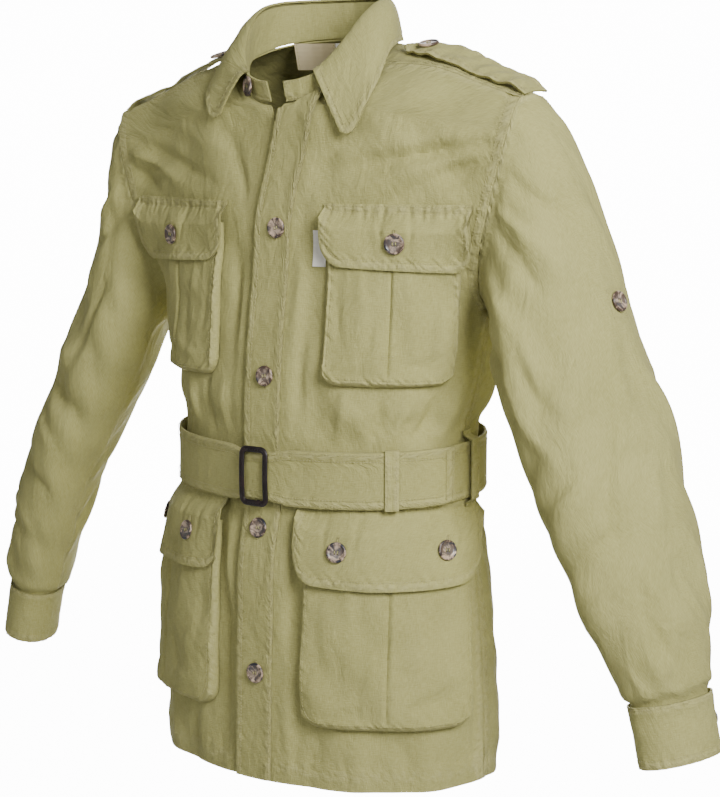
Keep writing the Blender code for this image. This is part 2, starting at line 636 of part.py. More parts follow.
def placket_points(front, lift, columns, heights):
    """The buttonhole band down the left front's free edge."""
    half = PLACKET_WIDTH / 2
    heights = np.asarray(heights)[:, None]
    columns = np.asarray(columns)[None, :]
    neck = front.points[front.points[:, 0, 0] > 0.0005, 0]
    neck_x = np.concatenate([[0], neck[:, 0]])
    neck_z = np.concatenate([[-0.082], neck[:, 2]])
    share = np.clip((heights - PLACKET_SLANT_FROM) / (NECK_Z - PLACKET_SLANT_FROM), 0, 1)
    z = heights + 0 * columns
    for _ in range(4):
        x = placket_shift(z) + half * columns
        top = np.interp(x, neck_x, neck_z) - 0.0030
        z = np.where(share > 0, PLACKET_SLANT_FROM + (top - PLACKET_SLANT_FROM) * share, heights)
    s, t = front.find(abs(x), z)
    rise = 0.0034 * np.clip((z + 0.13) / 0.05, 0, 1)
    points, normal = front_points(front, np.where(x < 0, -s, s), t, lift + rise)
    return points, normal


def make_placket(front):
    slanted = np.linspace(PLACKET_SLANT_FROM, NECK_Z, 6)
    heights = [HEM_Z + 0.0005, *LEVELS[1:], -0.240, -0.200, -0.165, -0.140, *slanted]
    points, normal = placket_points(front, PLACKET_LIFT, (-1, 0, 1), heights)
    wall("placket", points, CLOTH, "twill", normals=normal)


def make_back(back):
    z = back.points[:, -1, 2]
    t = np.interp(LEVELS, z, np.linspace(0, 1, len(z)))
    t = np.concatenate([t, np.linspace(t[-1], 1, 5)[1:]])[:, None]
    half = np.linspace(0, 1, 11)[None, :]
    left = back.at(half, t)
    left_normal = back.read(back.normals, half, t)
    left += np.where(half == 1, 1, 0)[..., None] * np.array([0, 1.5 * SEAM_GAP, 0])
    points = np.concatenate([left[:, ::-1], mirrored(left[:, 1:])], axis=1)
    normal = np.concatenate([left_normal[:, ::-1], mirrored(left_normal[:, 1:])], axis=1)
    points[-1, :, 2] -= SEAM_GAP
    square_side(normal, 0)
    square_side(normal, -1)
    wall("back", points, CLOTH, "twill", normals=normal)


def make_yoke(yoke):
    t = np.linspace(0, 1, 12)[:, None]
    s = np.linspace(0, 1, 8)[None, :]
    left = yoke.at(s, t)
    left_normal = yoke.read(yoke.normals, s, t)
    left[0, :, 1] += 1.7 * SEAM_GAP
    points = np.concatenate([left, mirrored(left[-2::-1])])
    normal = np.concatenate([left_normal, mirrored(left_normal[-2::-1])])
    wall("yoke", points, CLOTH, "twill", normals=normal)


def make_sleeves(seam):
    points = sleeve_points(seam, SLEEVE_COLUMNS)
    points = points[list(SLEEVE_ROWS)]
    far = np.clip((ARMPIT_Z - 0.02 - points[..., 2]) / 0.17, 0, 1)
    axis = points.mean(axis=1, keepdims=True)
    normal = normals_of(points, axis, closed=True)
    wall("left_sleeve", points, CLOTH, "twill", normals=normal, closed=True)
    moved = mirrored(points) - np.array([1, 0, 0]) * (RIGHT_ARM_OUT * far)[..., None]
    wall("right_sleeve", moved, CLOTH, "twill", normals=mirrored(normal), closed=True)


def make_cuffs():
    points, _ = oval_tube(CUFF_SECTIONS, 3, 20)
    axis = points.mean(axis=1, keepdims=True)
    normal = normals_of(points, axis, closed=True)
    wall("left_cuff", points, DOUBLE_CLOTH, "twill", normals=normal, closed=True)
    out = np.array([RIGHT_ARM_OUT, 0, 0])
    wall("right_cuff", mirrored(points) - out, DOUBLE_CLOTH, "twill", normals=mirrored(normal), closed=True)
    behind = points[1, CUFF_BUTTON_COLUMN]
    facing = normal[1, CUFF_BUTTON_COLUMN]
    make_button("left_cuff_button", behind, facing)
    make_button("right_cuff_button", mirrored(behind) - out, mirrored(facing))


def neckline(front, yoke):
    """The edge that the collar is sewn to, from the centre front round to the centre back."""
    front_edge = front.points[front.points[:, 0, 0] > 0.0005, 0]
    return np.concatenate([front_edge[:-1], yoke.points[:, 0]])


def collar_lines(neck, count):
    """Foot, fold and edge of the collar from the left front end round the back to the right one."""
    rows = np.array(COLLAR_ROWS, float)
    keys = np.linalg.norm(np.diff(rows[:, :3], axis=0), axis=1)
    dense = table_rows(rows, keys, count)
    neck = neck[np.argmax(neck[:, 0] > dense[0, 0]) :]
    length = travel(neck)
    at = np.linspace(0, length[-1], count)
    dense[:, 0:3] = np.stack([np.interp(at, length, neck[:, axis]) for axis in range(3)], axis=1)
    dense[:, 2] += 0.0011 + 0.0024 * np.clip(1.25 - at / 0.05, 0, 1)
    right = dense.copy()
    share = np.linspace(0, 1, count)
    right[:, 6] += RIGHT_POINT_SHIFT[0] * np.clip(1.6 - 1.6 * share / 0.80, 0, 1) * (1 - 0.4 * ease(share / 0.5))
    right[:, 8] += RIGHT_POINT_SHIFT[1] * np.clip(1.6 - 1.6 * share / 0.42, 0, 1)
    right = right[-2::-1] * np.array([-1, 1, 1] * 3)
    return np.concatenate([dense, right])


def make_collar(neck):
    lines = collar_lines(neck, COLLAR_COLUMNS)
    foot, fold = lines[:, 0:3], lines[:, 3:6]
    rows = [foot + (fold - foot) * f for f in (0, 0.5, 1)]
    points = np.stack(rows)
    middle = np.array([0, -0.035, 0]) + points * np.array([0, 0, 1])
    wall("collar_stand", points, DOUBLE_CLOTH, "twill", axis=middle)
    lines = lines[LEAF_STARTS:-LEAF_STARTS]
    fold, edge = lines[:, 3:6], lines[:, 6:9]
    middle = np.array([0, -0.035, 0]) + fold * np.array([0, 0, 1])
    out = fold - middle
    out /= np.linalg.norm(out, axis=1, keepdims=True)
    up = np.array([0, 0, 1])
    begin = fold + up * 0.0042 - out * 0.0018
    over = fold + up * 0.0062 + out * 0.0090
    fall = edge + (fold - edge) * 0.45 + out * 0.006
    rows = []
    for f in (0, 0.1, 0.24, 0.45, 0.72, 1):
        rows.append((1 - f) ** 3 * begin + 3 * f * (1 - f) ** 2 * over + 3 * f**2 * (1 - f) * fall + f**3 * edge)
    points = np.stack(rows)
    axis = np.array([0, -0.035, -0.06]) + points * 0
    wall("collar_leaf", points, DOUBLE_CLOTH, "twill", axis=axis)


def pocket_lift(across, down, fullness):
    """How far a patch pocket stands off: its sides are bellows, and it is fullest low down."""
    side = np.clip(np.minimum(across, 1 - across) / 0.045, 0, 1)
    low = np.clip((1 - down) / 0.05, 0, 1)
    return ON_PANEL + CLOTH + fullness * (0.45 + 0.55 * down) * np.minimum(side, low) ** 0.6


def make_pocket(front, kind):
    inner, outer, top, bottom, fullness = POCKETS[kind]
    across = np.array([0, 0.045, 0.20, 0.34, 0.485, 0.5, 0.515, 0.66, 0.80, 0.955, 1])[None, :]
    down = np.array([0, 0.2, 0.4, 0.6, 0.8, 0.95, 1])[:, None]
    corner = 0.10 * np.clip((abs(across - 0.5) * 2 - 0.78) / 0.22, 0, 1) ** 2
    z = top + (bottom - top) * down * (1 - corner)
    along = inner + (outer - inner) * across + 0 * down
    lift = pocket_lift(across, down, fullness)
    pleat = np.exp(-(((across - 0.5) / 0.012) ** 2)) * 0.0022
    lift = lift - pleat * np.clip((1 - down) / 0.1, 0, 1)
    s, t = front.place(along, z)
    points = front.at(s, t, lift)
    normal = front.read(front.normals, s, t)
    both_sides(f"{kind}_pocket", points, CLOTH, "twill", normals=normal)


def flap_lift(kind, down):
    """A flap lies on the panel at its seam and on the pocket's mouth lower down."""
    fullness = POCKETS[kind][4]
    over_pocket = np.clip((down - 0.12) / 0.28, 0, 1)
    return ON_PANEL + CLOTH + FLAP_SEAM_LIFT[kind] + (fullness * 0.80 + 0.0026) * over_pocket


def make_flap(front, kind):
    inner, outer, top, sides, middle, buttons = FLAPS[kind]
    across = np.array([0, 0.04, 0.10, 0.26, 0.42, 0.58, 0.74, 0.90, 0.96, 1])[None, :]
    down = np.array([0, 0.12, 0.26, 0.40, 0.70, 1])[:, None]
    far = abs(across - 0.5) * 2
    corner = 0.32 * (1 - np.sqrt(np.clip(1 - (np.clip(far - 0.80, 0, 1) / 0.20) ** 2, 0, 1)))
    bottom = sides + (middle - sides) * (1 - far**2)
    z = top + (bottom - top) * down * (1 - corner)
    along = inner + (outer - inner) * across + 0 * down
    s, t = front.place(along, z)
    lift = flap_lift(kind, down) + 0 * across
    points = front.at(s, t, lift)
    normal = front.read(front.normals, s, t)
    both_sides(f"{kind}_flap", points, CLOTH, "twill", normals=normal)
    height = FLAP_BUTTON_Z[kind]
    for number, place in enumerate(buttons, 1):
        share = (height - top) / (sides - top)
        s, t = front.place(place, height)
        at = front.at(s, t, flap_lift(kind, share) + 0.0002)
        facing = front.read(front.normals, s, t)
        ending = f"_{number}" if len(buttons) > 1 else ""
        make_button(f"left_{kind}_button{ending}", at, facing)
        make_button(f"right_{kind}_button{ending}", mirrored(at), mirrored(facing))


def make_button(name, at, facing):
    """A button: a short cylinder with a rounded rim, its axis along the cloth's normal."""
    at, facing = np.asarray(at, float), np.asarray(facing, float)
    side = np.cross([0, 0, 1], facing)
    if np.linalg.norm(side) < 0.2:
        side = np.array([1, 0, 0]) - facing * facing[0]
    top = np.cross(facing, side)
    near = [settled(at + 1e-4 * step) - settled(at) for step in (side, top)]
    side, facing = near[0] / np.linalg.norm(near[0]), np.cross(near[0], near[1])
    facing /= np.linalg.norm(facing)
    bpy.ops.mesh.primitive_cylinder_add(vertices=16, radius=BUTTON_RADIUS, depth=BUTTON_THICK)
    obj = bpy.context.object
    obj.name = name
    obj.data.name = name
    rim = obj.modifiers.new("rim", "BEVEL")
    rim.width = 0.0008
    rim.segments = 1
    rim.limit_method = "ANGLE"
    place = settled(at) + facing * (BUTTON_THICK / 2 + 0.0005)
    obj.location = tuple(map(float, place))
    turn = np.stack([side, np.cross(facing, side), facing], axis=1)
    obj.rotation_euler = matrix_turn(turn)
    for holder in list(obj.users_collection):
        holder.objects.unlink(obj)
    jacket_collection().objects.link(obj)
    obj.data.materials.append(material(name, "horn"))
    return obj


def matrix_turn(turn):
    """Euler angles of a rotation given by its three axes."""
    return mathutils.Matrix([list(map(float, row)) for row in turn]).to_euler()


def make_front_buttons(front, neck):
    for number, (z, across) in enumerate(FRONT_BUTTONS, 1):
        at, facing = placket_points(front, PLACKET_LIFT, (across,), (z,))
        make_button(f"front_button_{number}", at[0, 0], facing[0, 0])
    lines = collar_lines(neck, 40)
    foot, fold = lines[-6, 0:3], lines[-6, 3:6]
    at = foot + (fold - foot) * 0.48
    facing = np.array([at[0], at[1] + 0.035, 0])
    facing /= np.linalg.norm(facing)
    make_button("collar_button", at + facing * 0.0022, facing)


def waist_ring(front, back):
    """A closed line round the waist, from the centre front round the wearer's left."""
    level = np.linspace(0, 1, 60)
    s, t = front.place(level * 0.001, WAIST_Z)
    left_front = front.at(level, np.full(60, t[0]))
    tb = np.interp(WAIST_Z, back.points[:, 0, 2], np.linspace(0, 1, len(back.points)))
    left_back = back.at(level[::-1], np.full(60, tb))
    half = np.concatenate([left_front, left_back[1:]])
    ring = np.concatenate([half, mirrored(half[-2:0:-1])])
    return np.concatenate([ring, ring[:1]])


def belt_height_at(y):
    """The belt dips a little at the front."""
    return WAIST_Z + 0.060 * (y + 0.01)


def strip_on_ring(ring, at, lift, half_height, rows):
    """Columns of points at distances round the ring, moved out by lift, in rows up the strip."""
    length = travel(ring)
    total = length[-1]
    spot = np.stack([np.interp(at % total, length, ring[:, axis]) for axis in range(3)], axis=1)
    ahead = np.stack([np.interp((at + 0.004) % total, length, ring[:, axis]) for axis in range(3)], axis=1)
    behind = np.stack([np.interp((at - 0.004) % total, length, ring[:, axis]) for axis in range(3)], axis=1)
    tangent = ahead - behind
    tangent[:, 2] = 0
    tangent /= np.linalg.norm(tangent, axis=1, keepdims=True)
    normal = np.stack([tangent[:, 1], -tangent[:, 0], np.zeros(len(at))], axis=1)
    base = spot + normal * np.asarray(lift)[..., None]
    base[:, 2] = belt_height_at(spot[:, 1])
    grid = np.stack([base + np.array([0, 0, 1]) * (half_height * f)[:, None] for f in rows])
    return grid, np.stack([normal] * len(rows))


def belt_lift(at, total):
    """The belt starts on the buckle's middle bar, goes once round and laps over its own start."""
    under = 0.0064 + BELT_CLOTH
    over = under + 0.0004 + BELT_CLOTH
    bar = over + 0.0032
    lap = np.clip((at - (total - 0.062)) / 0.05, 0, 1)
    lift = under + (over + 0.0004 - under) * lap * lap * (3 - 2 * lap)
    near = np.exp(-(((at - total) / 0.022) ** 2)) * (bar - over)
    return lift + near


def make_belt(ring):
    total = travel(ring)[-1]
    at = np.concatenate([[-0.003], np.arange(0.016, total - 0.06, 0.021),
                         np.arange(total - 0.056, total + BELT_TAIL_AT - 0.01, 0.014),
                         [total + BELT_TAIL_AT - 0.006, total + BELT_TAIL_AT]])
    lift = belt_lift(at, total)
    squeeze = np.exp(-((((at + total / 2) % total - total / 2) / 0.026) ** 4))
    half = (BELT_HEIGHT - (BELT_HEIGHT - BELT_AT_BUCKLE) * squeeze) / 2
    half = half * np.where(at > total + BELT_TAIL_AT - 0.001, 0.97, 1)
    rows = np.array([-1, 0, 1])
    points, normal = strip_on_ring(ring, at, lift, half, rows)
    wall("belt", points, BELT_CLOTH, "twill", normals=normal)


def make_buckle(ring):
    """A rounded frame in front of the belt, with a middle bar behind the lapping end that holds the belt's start."""
    total = travel(ring)[-1]
    grid, normal = strip_on_ring(ring, np.array([0.0]), belt_lift(np.array([total]), total), np.array([0.0]), [0.0])
    centre = grid[0, 0]
    outward = normal[0, 0]
    width, height, corner, bar = BUCKLE_WIDTH / 2, BUCKLE_HEIGHT / 2, BUCKLE_CORNER, BUCKLE_BAR / 2
    track = []
    steps = 4
    for cx, cz, begin in ((1, 1, 0), (-1, 1, 90), (-1, -1, 180), (1, -1, 270)):
        for k in range(steps + 1):
            angle = math.radians(begin + 90 * k / steps)
            x = cx * (width - bar - corner) + corner * math.cos(angle)
            z = cz * (height - bar - corner) + corner * math.sin(angle)
            track.append((x, z, math.cos(angle), math.sin(angle)))
    points = []
    sides = 8
    depth = BUCKLE_DEPTH
    for x, z, nx, nz in track:
        for k in range(sides):
            angle = 2 * math.pi * k / sides
            out, front = bar * math.cos(angle), depth / 2 * math.sin(angle)
            bow = 0.0016 * (1 - (z / height) ** 2)
            points.append((x + nx * out, -front - bow, z + nz * out))
    count = len(track)
    faces = []
    for j in range(count):
        for k in range(sides):
            j2, k2 = (j + 1) % count, (k + 1) % sides
            faces.append((j * sides + k, j * sides + k2, j2 * sides + k2, j2 * sides + k))
    obj = add_mesh("buckle", np.array(points) + centre + outward * (depth / 2 + 0.0006), faces, "leather")
    lift = belt_lift(np.array([total]), total)[0]
    back, front = BUCKLE_MIDDLE_BAR - lift, depth / 2 + 0.0006
    for number, (up, inner, outer, tall) in enumerate((
        (0, back, back + 0.0024, 2 * height - BUCKLE_BAR + 0.0024),
        (height - bar, back + 0.0003, front, 0.0024),
        (bar - height, back + 0.0003, front, 0.0024),
    )):
        bpy.ops.mesh.primitive_cube_add(size=1)
        block = bpy.context.object
        block.name = f"buckle_middle_bar_{number}"
        block.scale = (0.0040, outer - inner, tall)
        block.location = tuple(map(float, centre + outward * (inner + outer) / 2 + np.array([0, 0, up])))
        move_to_helpers(block)
        joined = obj.modifiers.new(f"middle_bar_{number}", "BOOLEAN")
        joined.operation = "UNION"
        joined.object = block


def move_to_helpers(obj):
    """Puts a solid that only shapes another one into the hidden collection."""
    found = bpy.data.collections.get("helpers")
    if found is None:
        found = bpy.data.collections.new("helpers")
        found.hide_render = True
        bpy.context.scene.collection.children.link(found)
    for holder in list(obj.users_collection):
        holder.objects.unlink(obj)
    found.objects.link(obj)
    obj.hide_render = True
    obj.display_type = "WIRE"


def make_keeper(ring):
    """The cloth loop that holds the lapping end."""
    total = travel(ring)[-1]
    half = BELT_HEIGHT / 2
    inner, outer = KEEPER_INNER, belt_lift(np.array([total + KEEPER_AT]), total)[0] + 0.0010
    thick = KEEPER_CLOTH
    corners = [(outer, -half - 0.0006), (outer, half + 0.0006), (inner, half + 0.0006), (inner, -half - 0.0006)]
    outside = [(a + (thick if a == outer else -thick), b + math.copysign(thick, b)) for a, b in corners]
    points = []
    for at in (KEEPER_AT - KEEPER_HALF, KEEPER_AT + KEEPER_HALF):
        for lift, up in outside + corners:
            grid, _ = strip_on_ring(ring, np.array([at]), np.array([lift]), np.array([1.0]), [up])
            points.append(grid[0, 0])
    faces = []
    for k in range(4):
        n = (k + 1) % 4
        faces.append((k, n, 8 + n, 8 + k))
        faces.append((4 + k, 4 + n, 12 + n, 12 + k))
        faces.append((k, n, 4 + n, 4 + k))
        faces.append((8 + k, 8 + n, 12 + n, 12 + k))
    add_mesh("belt_keeper", np.array(points), faces, "twill")


def make_belt_loop(name, ring, at, foot_lift):
    """A strip sewn above and below the belt that stands over it."""
    total = travel(ring)[-1]
    outer = belt_lift(np.array([at if at > 0.25 else at + total]), total)[0] + 0.0008 + LOOP_CLOTH
    half = BELT_HEIGHT / 2
    flat = LOOP_CLOTH + ON_PANEL
    profile = [
        (flat + 0.0010, half + 0.010),
        (flat + 0.0010, half + 0.006),
        (outer, half + 0.0022),
        (outer, 0.0),
        (outer, -half - 0.0022),
        (flat + foot_lift, -half - 0.0055),
        (flat + foot_lift, -half - 0.009),
    ]
    columns = []
    for offset in (-LOOP_HALF, 0, LOOP_HALF):
        line = []
        for lift, up in profile:
            grid, _ = strip_on_ring(ring, np.array([at + offset]), np.array([lift]), np.array([1.0]), [up])
            line.append(grid[0, 0])
        columns.append(line)
    points = np.swapaxes(np.array(columns), 0, 1)
    wall(name, points, LOOP_CLOTH, "twill", axis=points * np.array([0, 0, 1]))


def make_epaulettes():
    """A strap on each shoulder from the sleeve seam to a point beside the collar, leaning a little forward."""
    rows = np.array(EPAULETTE_ROWS)
    across = np.array([-1, -0.6, 0, 0.6, 1])[None, :]
    half, slope = rows[:, 3:4], rows[:, 4:5]
    points = rows[:, None, 0:3] + (across * half)[..., None] * np.array([0, 1, 0])
    points[..., 2] += across * half * slope - EPAULETTE_BOW * (across * half / 0.0205) ** 2
    axis = points - np.array([0, 0, 1])
    both_sides("epaulette", points, EPAULETTE_CLOTH, "twill", axis=axis)
    at = np.array(EPAULETTE_BUTTON_AT)
    facing = np.array([0.03, -rows[EPAULETTE_BUTTON_ROW, 4], 1])
    make_button("left_epaulette_button", at, facing)
    make_button("right_epaulette_button", mirrored(at), mirrored(facing))


def make_sleeve_buttons(seam):
    """The roll-up tab's button on the outside of each sleeve."""
    points = sleeve_points(seam, SLEEVE_COLUMNS)
    normal = normals_of(points, points.mean(axis=1, keepdims=True), closed=True)
    column = SLEEVE_COLUMNS // 2
    row = int(np.argmin(abs(points[:, column, 2] - SLEEVE_BUTTON_Z)))
    at, facing = points[row, column], normal[row, column]
    far = float(np.clip((ARMPIT_Z - 0.02 - at[2]) / 0.17, 0, 1))
    make_button("left_sleeve_button", at + facing * 0.0006, facing)
    make_button("right_sleeve_button", mirrored(at + facing * 0.0006) - [RIGHT_ARM_OUT * far, 0, 0], mirrored(facing))


def make_labels(front):
    """The woven neck label, the care label beside it and the tab on the left chest pocket, all bare."""
    for name, x0, x1, top, bottom, finish in NECK_LABELS:
        x = np.linspace(x0, x1, NECK_LABEL_COLUMNS)[None, :]
        z = np.linspace(top, bottom, 3)[:, None]
        y = np.interp(abs(x), *np.transpose(NECK_LABEL_LINE)) + (top - z) * 0.25
        points = np.stack(np.broadcast_arrays(x, y, z), axis=-1)
        wall(name, points, LABEL_CLOTH, finish, axis=points + np.array([0, 1, 0]))
    inner, outer, top, bottom = POCKET_LABEL
    z = np.linspace(top, bottom, 3)[:, None]
    along = np.array([inner, outer])[None, :]
    s, t = front.place(along, z)
    points = front.at(s, t, ON_PANEL + LABEL_CLOTH + overlap_lift(front.at(s, t)[..., 0]))
    wall("pocket_label", points, LABEL_CLOTH, "white_label", normals=front.read(front.normals, s, t))


def main():
    for obj in list(bpy.data.objects):
        bpy.data.objects.remove(obj, do_unlink=True)
    front, back = front_surface(), back_surface()
    yoke = yoke_surface(front)
    seam = armhole_line(front, back, yoke, SLEEVE_COLUMNS)
    make_fronts(front)
    make_placket(front)
    make_back(back)
    make_yoke(yoke)
    make_sleeves(seam)
    make_cuffs()
    neck = neckline(front, yoke)
    make_collar(neck)
    for kind in POCKETS:
        make_pocket(front, kind)
        make_flap(front, kind)
    make_front_buttons(front, neck)
    make_epaulettes()
    make_sleeve_buttons(seam)
    ring = waist_ring(front, back)
    make_belt(ring)
    make_buckle(ring)
    make_keeper(ring)
    quarter = travel(ring)[59]
    total = travel(ring)[-1]
    make_belt_loop("left_belt_loop", ring, quarter, LOOP_FOOT["side"])
    make_belt_loop("right_belt_loop", ring, total - quarter, LOOP_FOOT["side"])
    make_belt_loop("back_belt_loop", ring, total / 2, LOOP_FOOT["back"])
    make_labels(front)


main()
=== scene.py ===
"""A belted safari jacket in khaki cotton twill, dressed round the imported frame.

Metres, +Z up. The wearer faces -Y, +X is the wearer's left, and the origin is at the base of the neck. The tables of
the panels are the ones the solids are made from, read on finer grids. Creases, stitching, buttonholes and the
finishes are added here.
"""

import logging
import math
from dataclasses import dataclass, field
from enum import Enum

import bmesh
import bpy
import numpy as np
from mathutils import Matrix, Vector

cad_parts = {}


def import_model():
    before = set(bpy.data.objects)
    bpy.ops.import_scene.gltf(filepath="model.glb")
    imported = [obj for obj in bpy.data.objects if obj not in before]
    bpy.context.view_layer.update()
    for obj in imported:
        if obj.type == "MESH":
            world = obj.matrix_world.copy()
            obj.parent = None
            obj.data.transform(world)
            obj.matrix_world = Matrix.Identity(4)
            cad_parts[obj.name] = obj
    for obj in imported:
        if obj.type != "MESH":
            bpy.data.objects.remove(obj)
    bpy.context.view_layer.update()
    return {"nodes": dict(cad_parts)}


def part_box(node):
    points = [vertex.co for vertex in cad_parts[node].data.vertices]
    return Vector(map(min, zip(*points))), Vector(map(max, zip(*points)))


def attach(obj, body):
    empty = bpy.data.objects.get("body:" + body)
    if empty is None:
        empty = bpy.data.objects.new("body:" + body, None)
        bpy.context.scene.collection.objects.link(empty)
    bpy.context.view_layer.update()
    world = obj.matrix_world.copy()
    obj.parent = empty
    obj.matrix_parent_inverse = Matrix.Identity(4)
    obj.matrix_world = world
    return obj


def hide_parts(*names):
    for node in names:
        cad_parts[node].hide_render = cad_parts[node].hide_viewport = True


log = logging.getLogger("safari_jacket")

Array = np.ndarray
Rows = tuple[tuple[float, ...], ...]

CLOTH = 0.0016
DOUBLE_CLOTH = 0.0020
LABEL_CLOTH = 0.0008
SEAM_GAP = 0.0004
ON_PANEL = 0.0011

HEM_Z = -0.725
WAIST_Z = -0.421
ARMPIT_Z = -0.275
NECK_Z = -0.070

SHOULDER_DROP = 0.013
HEAD_DRAWN_IN = 0.011
RIGHT_ARM_OUT = 0.020

PHOTO_WIDTH, PHOTO_HEIGHT = 720, 797


class Side(Enum):
    """The wearer's left and right."""

    LEFT = 1
    RIGHT = -1

    @property
    def word(self) -> str:
        """The word that starts a piece's name."""
        return self.name.lower()

    def turn(self, points: Array) -> Array:
        """Points of the left side, as they are or mirrored to this side."""
        return points * np.array([self.value, 1, 1])


class Held(Enum):
    """How a sheet of cloth is held in the jacket."""

    HUNG = "hung"
    FOLDED = "folded"
    GATHERED = "gathered"
    STRETCHED = "stretched"


# Curves and points

def ease(share: Array) -> Array:
    """A smooth step from 0 to 1."""
    share = np.clip(share, 0, 1)
    return share * share * (3 - 2 * share)


def smooth(knots: Array, rows: Array, at: Array) -> Array:
    """Cubic curves through the rows of a table that never swing past them.

    Args:
        knots: distance of each row.
        rows: the table.
        at: distances to read at.

    Returns:
        One row for each distance.
    """
    rows = np.asarray(rows, float)
    slopes = np.gradient(rows, knots, axis=0)
    steps = np.diff(rows, axis=0) / np.diff(knots)[:, None]
    before, after = np.vstack([steps[:1], steps]), np.vstack([steps, steps[-1:]])
    most = 3 * np.minimum(abs(before), abs(after)) * (before * after > 0)
    slopes = np.clip(slopes, -most, most)
    first = np.clip(np.searchsorted(knots, at) - 1, 0, len(knots) - 2)
    span = (knots[first + 1] - knots[first])[:, None]
    f = (at - knots[first])[:, None] / span
    start, end = rows[first], rows[first + 1]
    return (
        (2 * f**3 - 3 * f**2 + 1) * start
        + (f**3 - 2 * f**2 + f) * span * slopes[first]
        + (3 * f**2 - 2 * f**3) * end
        + (f**3 - f**2) * span * slopes[first + 1]
    )


def travel(points: Array) -> Array:
    """Distance along each line of points."""
    steps = np.linalg.norm(np.diff(points, axis=-2), axis=-1)
    return np.concatenate([np.zeros(steps.shape[:-1] + (1,)), np.cumsum(steps, axis=-1)], axis=-1)


def spaced(line: Array, count: int) -> Array:
    """The same line of points with a number of even steps."""
    length = travel(line)
    at = np.linspace(0, length[-1], count)
    return np.stack([np.interp(at, length, line[:, axis]) for axis in range(3)], axis=1)


def cubic(p0: Array, p1: Array, p2: Array, p3: Array, count: int) -> Array:
    """Evenly spaced points along a cubic curve."""
    f = np.linspace(0, 1, 64)[:, None]
    line = (1 - f) ** 3 * p0 + 3 * f * (1 - f) ** 2 * p1 + 3 * f**2 * (1 - f) * p2 + f**3 * p3
    return spaced(line, count)


def dense_rows(table: Array, keys: Array, count: int) -> Array:
    """A table's rows, made dense and evenly spaced by a distance column."""
    knots = np.concatenate([[0], np.cumsum(keys)])
    return smooth(knots, table, np.linspace(0, knots[-1], count))


def normals_of(grid: Array, axis: Array, closed: bool = False) -> Array:
    """Unit normals of a grid of points, facing away from an axis point given for each row."""
    if closed:
        along = np.roll(grid, -1, axis=1) - np.roll(grid, 1, axis=1)
    else:
        along = np.gradient(grid, axis=1)
    normal = np.cross(along, np.gradient(grid, axis=0))
    normal /= np.maximum(np.linalg.norm(normal, axis=-1, keepdims=True), 1e-12)
    return normal * np.where((normal * (grid - axis)).sum() < 0, -1, 1)


def settled(points: Array) -> Array:
    """Points of the whole jacket, moved so that the right shoulder hangs lower and its sleeve head closer in."""
    moved = np.array(points, float)
    x, z = moved[..., 0].copy(), moved[..., 2].copy()
    moved[..., 2] -= SHOULDER_DROP * ease((-x - 0.06) / 0.13) * ease((z + 0.165) / 0.09)
    moved[..., 0] += HEAD_DRAWN_IN * ease((-x - 0.225) / 0.05) * np.exp(-(((z + 0.18) / 0.07) ** 2))
    return moved


# Creases

def creased(rows: Rows, along: Array, down: Array) -> Array:
    """Height that a table of creases adds to the cloth.

    Args:
        rows: start (two lengths on the cloth), end (two lengths), half width, height of the ridge or, below 0, depth
            of the trough, and how far the crease bows sideways.
        along: first length on the cloth of each point.
        down: second length on the cloth of each point.

    Returns:
        The height at each point.
    """
    along, down = np.broadcast_arrays(along, down)
    total = np.zeros(along.shape)
    for number, (a0, d0, a1, d1, half, height, bow) in enumerate(rows):
        length = math.hypot(a1 - a0, d1 - d0)
        ua, ud = (a1 - a0) / length, (d1 - d0) / length
        f = ((along - a0) * ua + (down - d0) * ud) / length
        inside = np.clip(f, 0, 1)
        across = (down - d0) * ua - (along - a0) * ud - bow * 4 * inside * (1 - inside)
        off = np.hypot(across, (f - inside) * length)
        width = half * (1 + 0.28 * np.sin(6.5 * inside + 1.7 * number)) * np.where(across > 0, 1.15, 0.78)
        fade = np.sin(np.pi * np.clip(0.14 + 0.72 * inside, 0, 1)) ** 1.2
        total += height * np.exp(-((off / width) ** 2)) * fade
    return total


def rumpled(along: Array, down: Array, seed: int, wave: float, height: float) -> Array:
    """Slow uneven swells of worn cloth, the same each run."""
    chance = np.random.default_rng(seed)
    total = np.zeros(np.broadcast(along, down).shape)
    for _ in range(9):
        angle, phase = chance.uniform(0, math.pi), chance.uniform(0, 2 * math.pi)
        length = wave * chance.uniform(0.6, 2.0)
        total += np.sin(2 * math.pi * (along * math.cos(angle) + down * math.sin(angle)) / length + phase)
    return height * total / 3


def pucker(distance: Array, run: Array, seed: int, depth: float = 0.00045, reach: float = 0.0045) -> Array:
    """Small uneven ripples that cross a line of stitching, and the groove that the thread pulls in.

    Args:
        distance: distance of each point from the line of stitching.
        run: distance along the line.
        seed: which uneven row.
        depth: height of the ripples.
        reach: how far to each side they go.

    Returns:
        The height at each point.
    """
    chance = np.random.default_rng(seed)
    ripple = np.zeros(np.broadcast(distance, run).shape)
    for wave in (0.0062, 0.0087, 0.0121, 0.0190):
        ripple = ripple + np.sin(2 * math.pi * run / (wave * chance.uniform(0.9, 1.1)) + chance.uniform(0, 6.3))
    ripple = ripple * 0.62 * depth * np.exp(-((distance / reach) ** 2))
    return ripple - 0.00060 * np.exp(-((distance / 0.0015) ** 2))


# Finishes

def linear(hex_colour: str) -> tuple[float, float, float, float]:
    """An sRGB hex colour as linear red, green, blue and alpha."""
    parts = [int(hex_colour[k : k + 2], 16) / 255 for k in (1, 3, 5)]
    red, green, blue = (c / 12.92 if c <= 0.04045 else ((c + 0.055) / 1.055) ** 2.4 for c in parts)
    return red, green, blue, 1.0


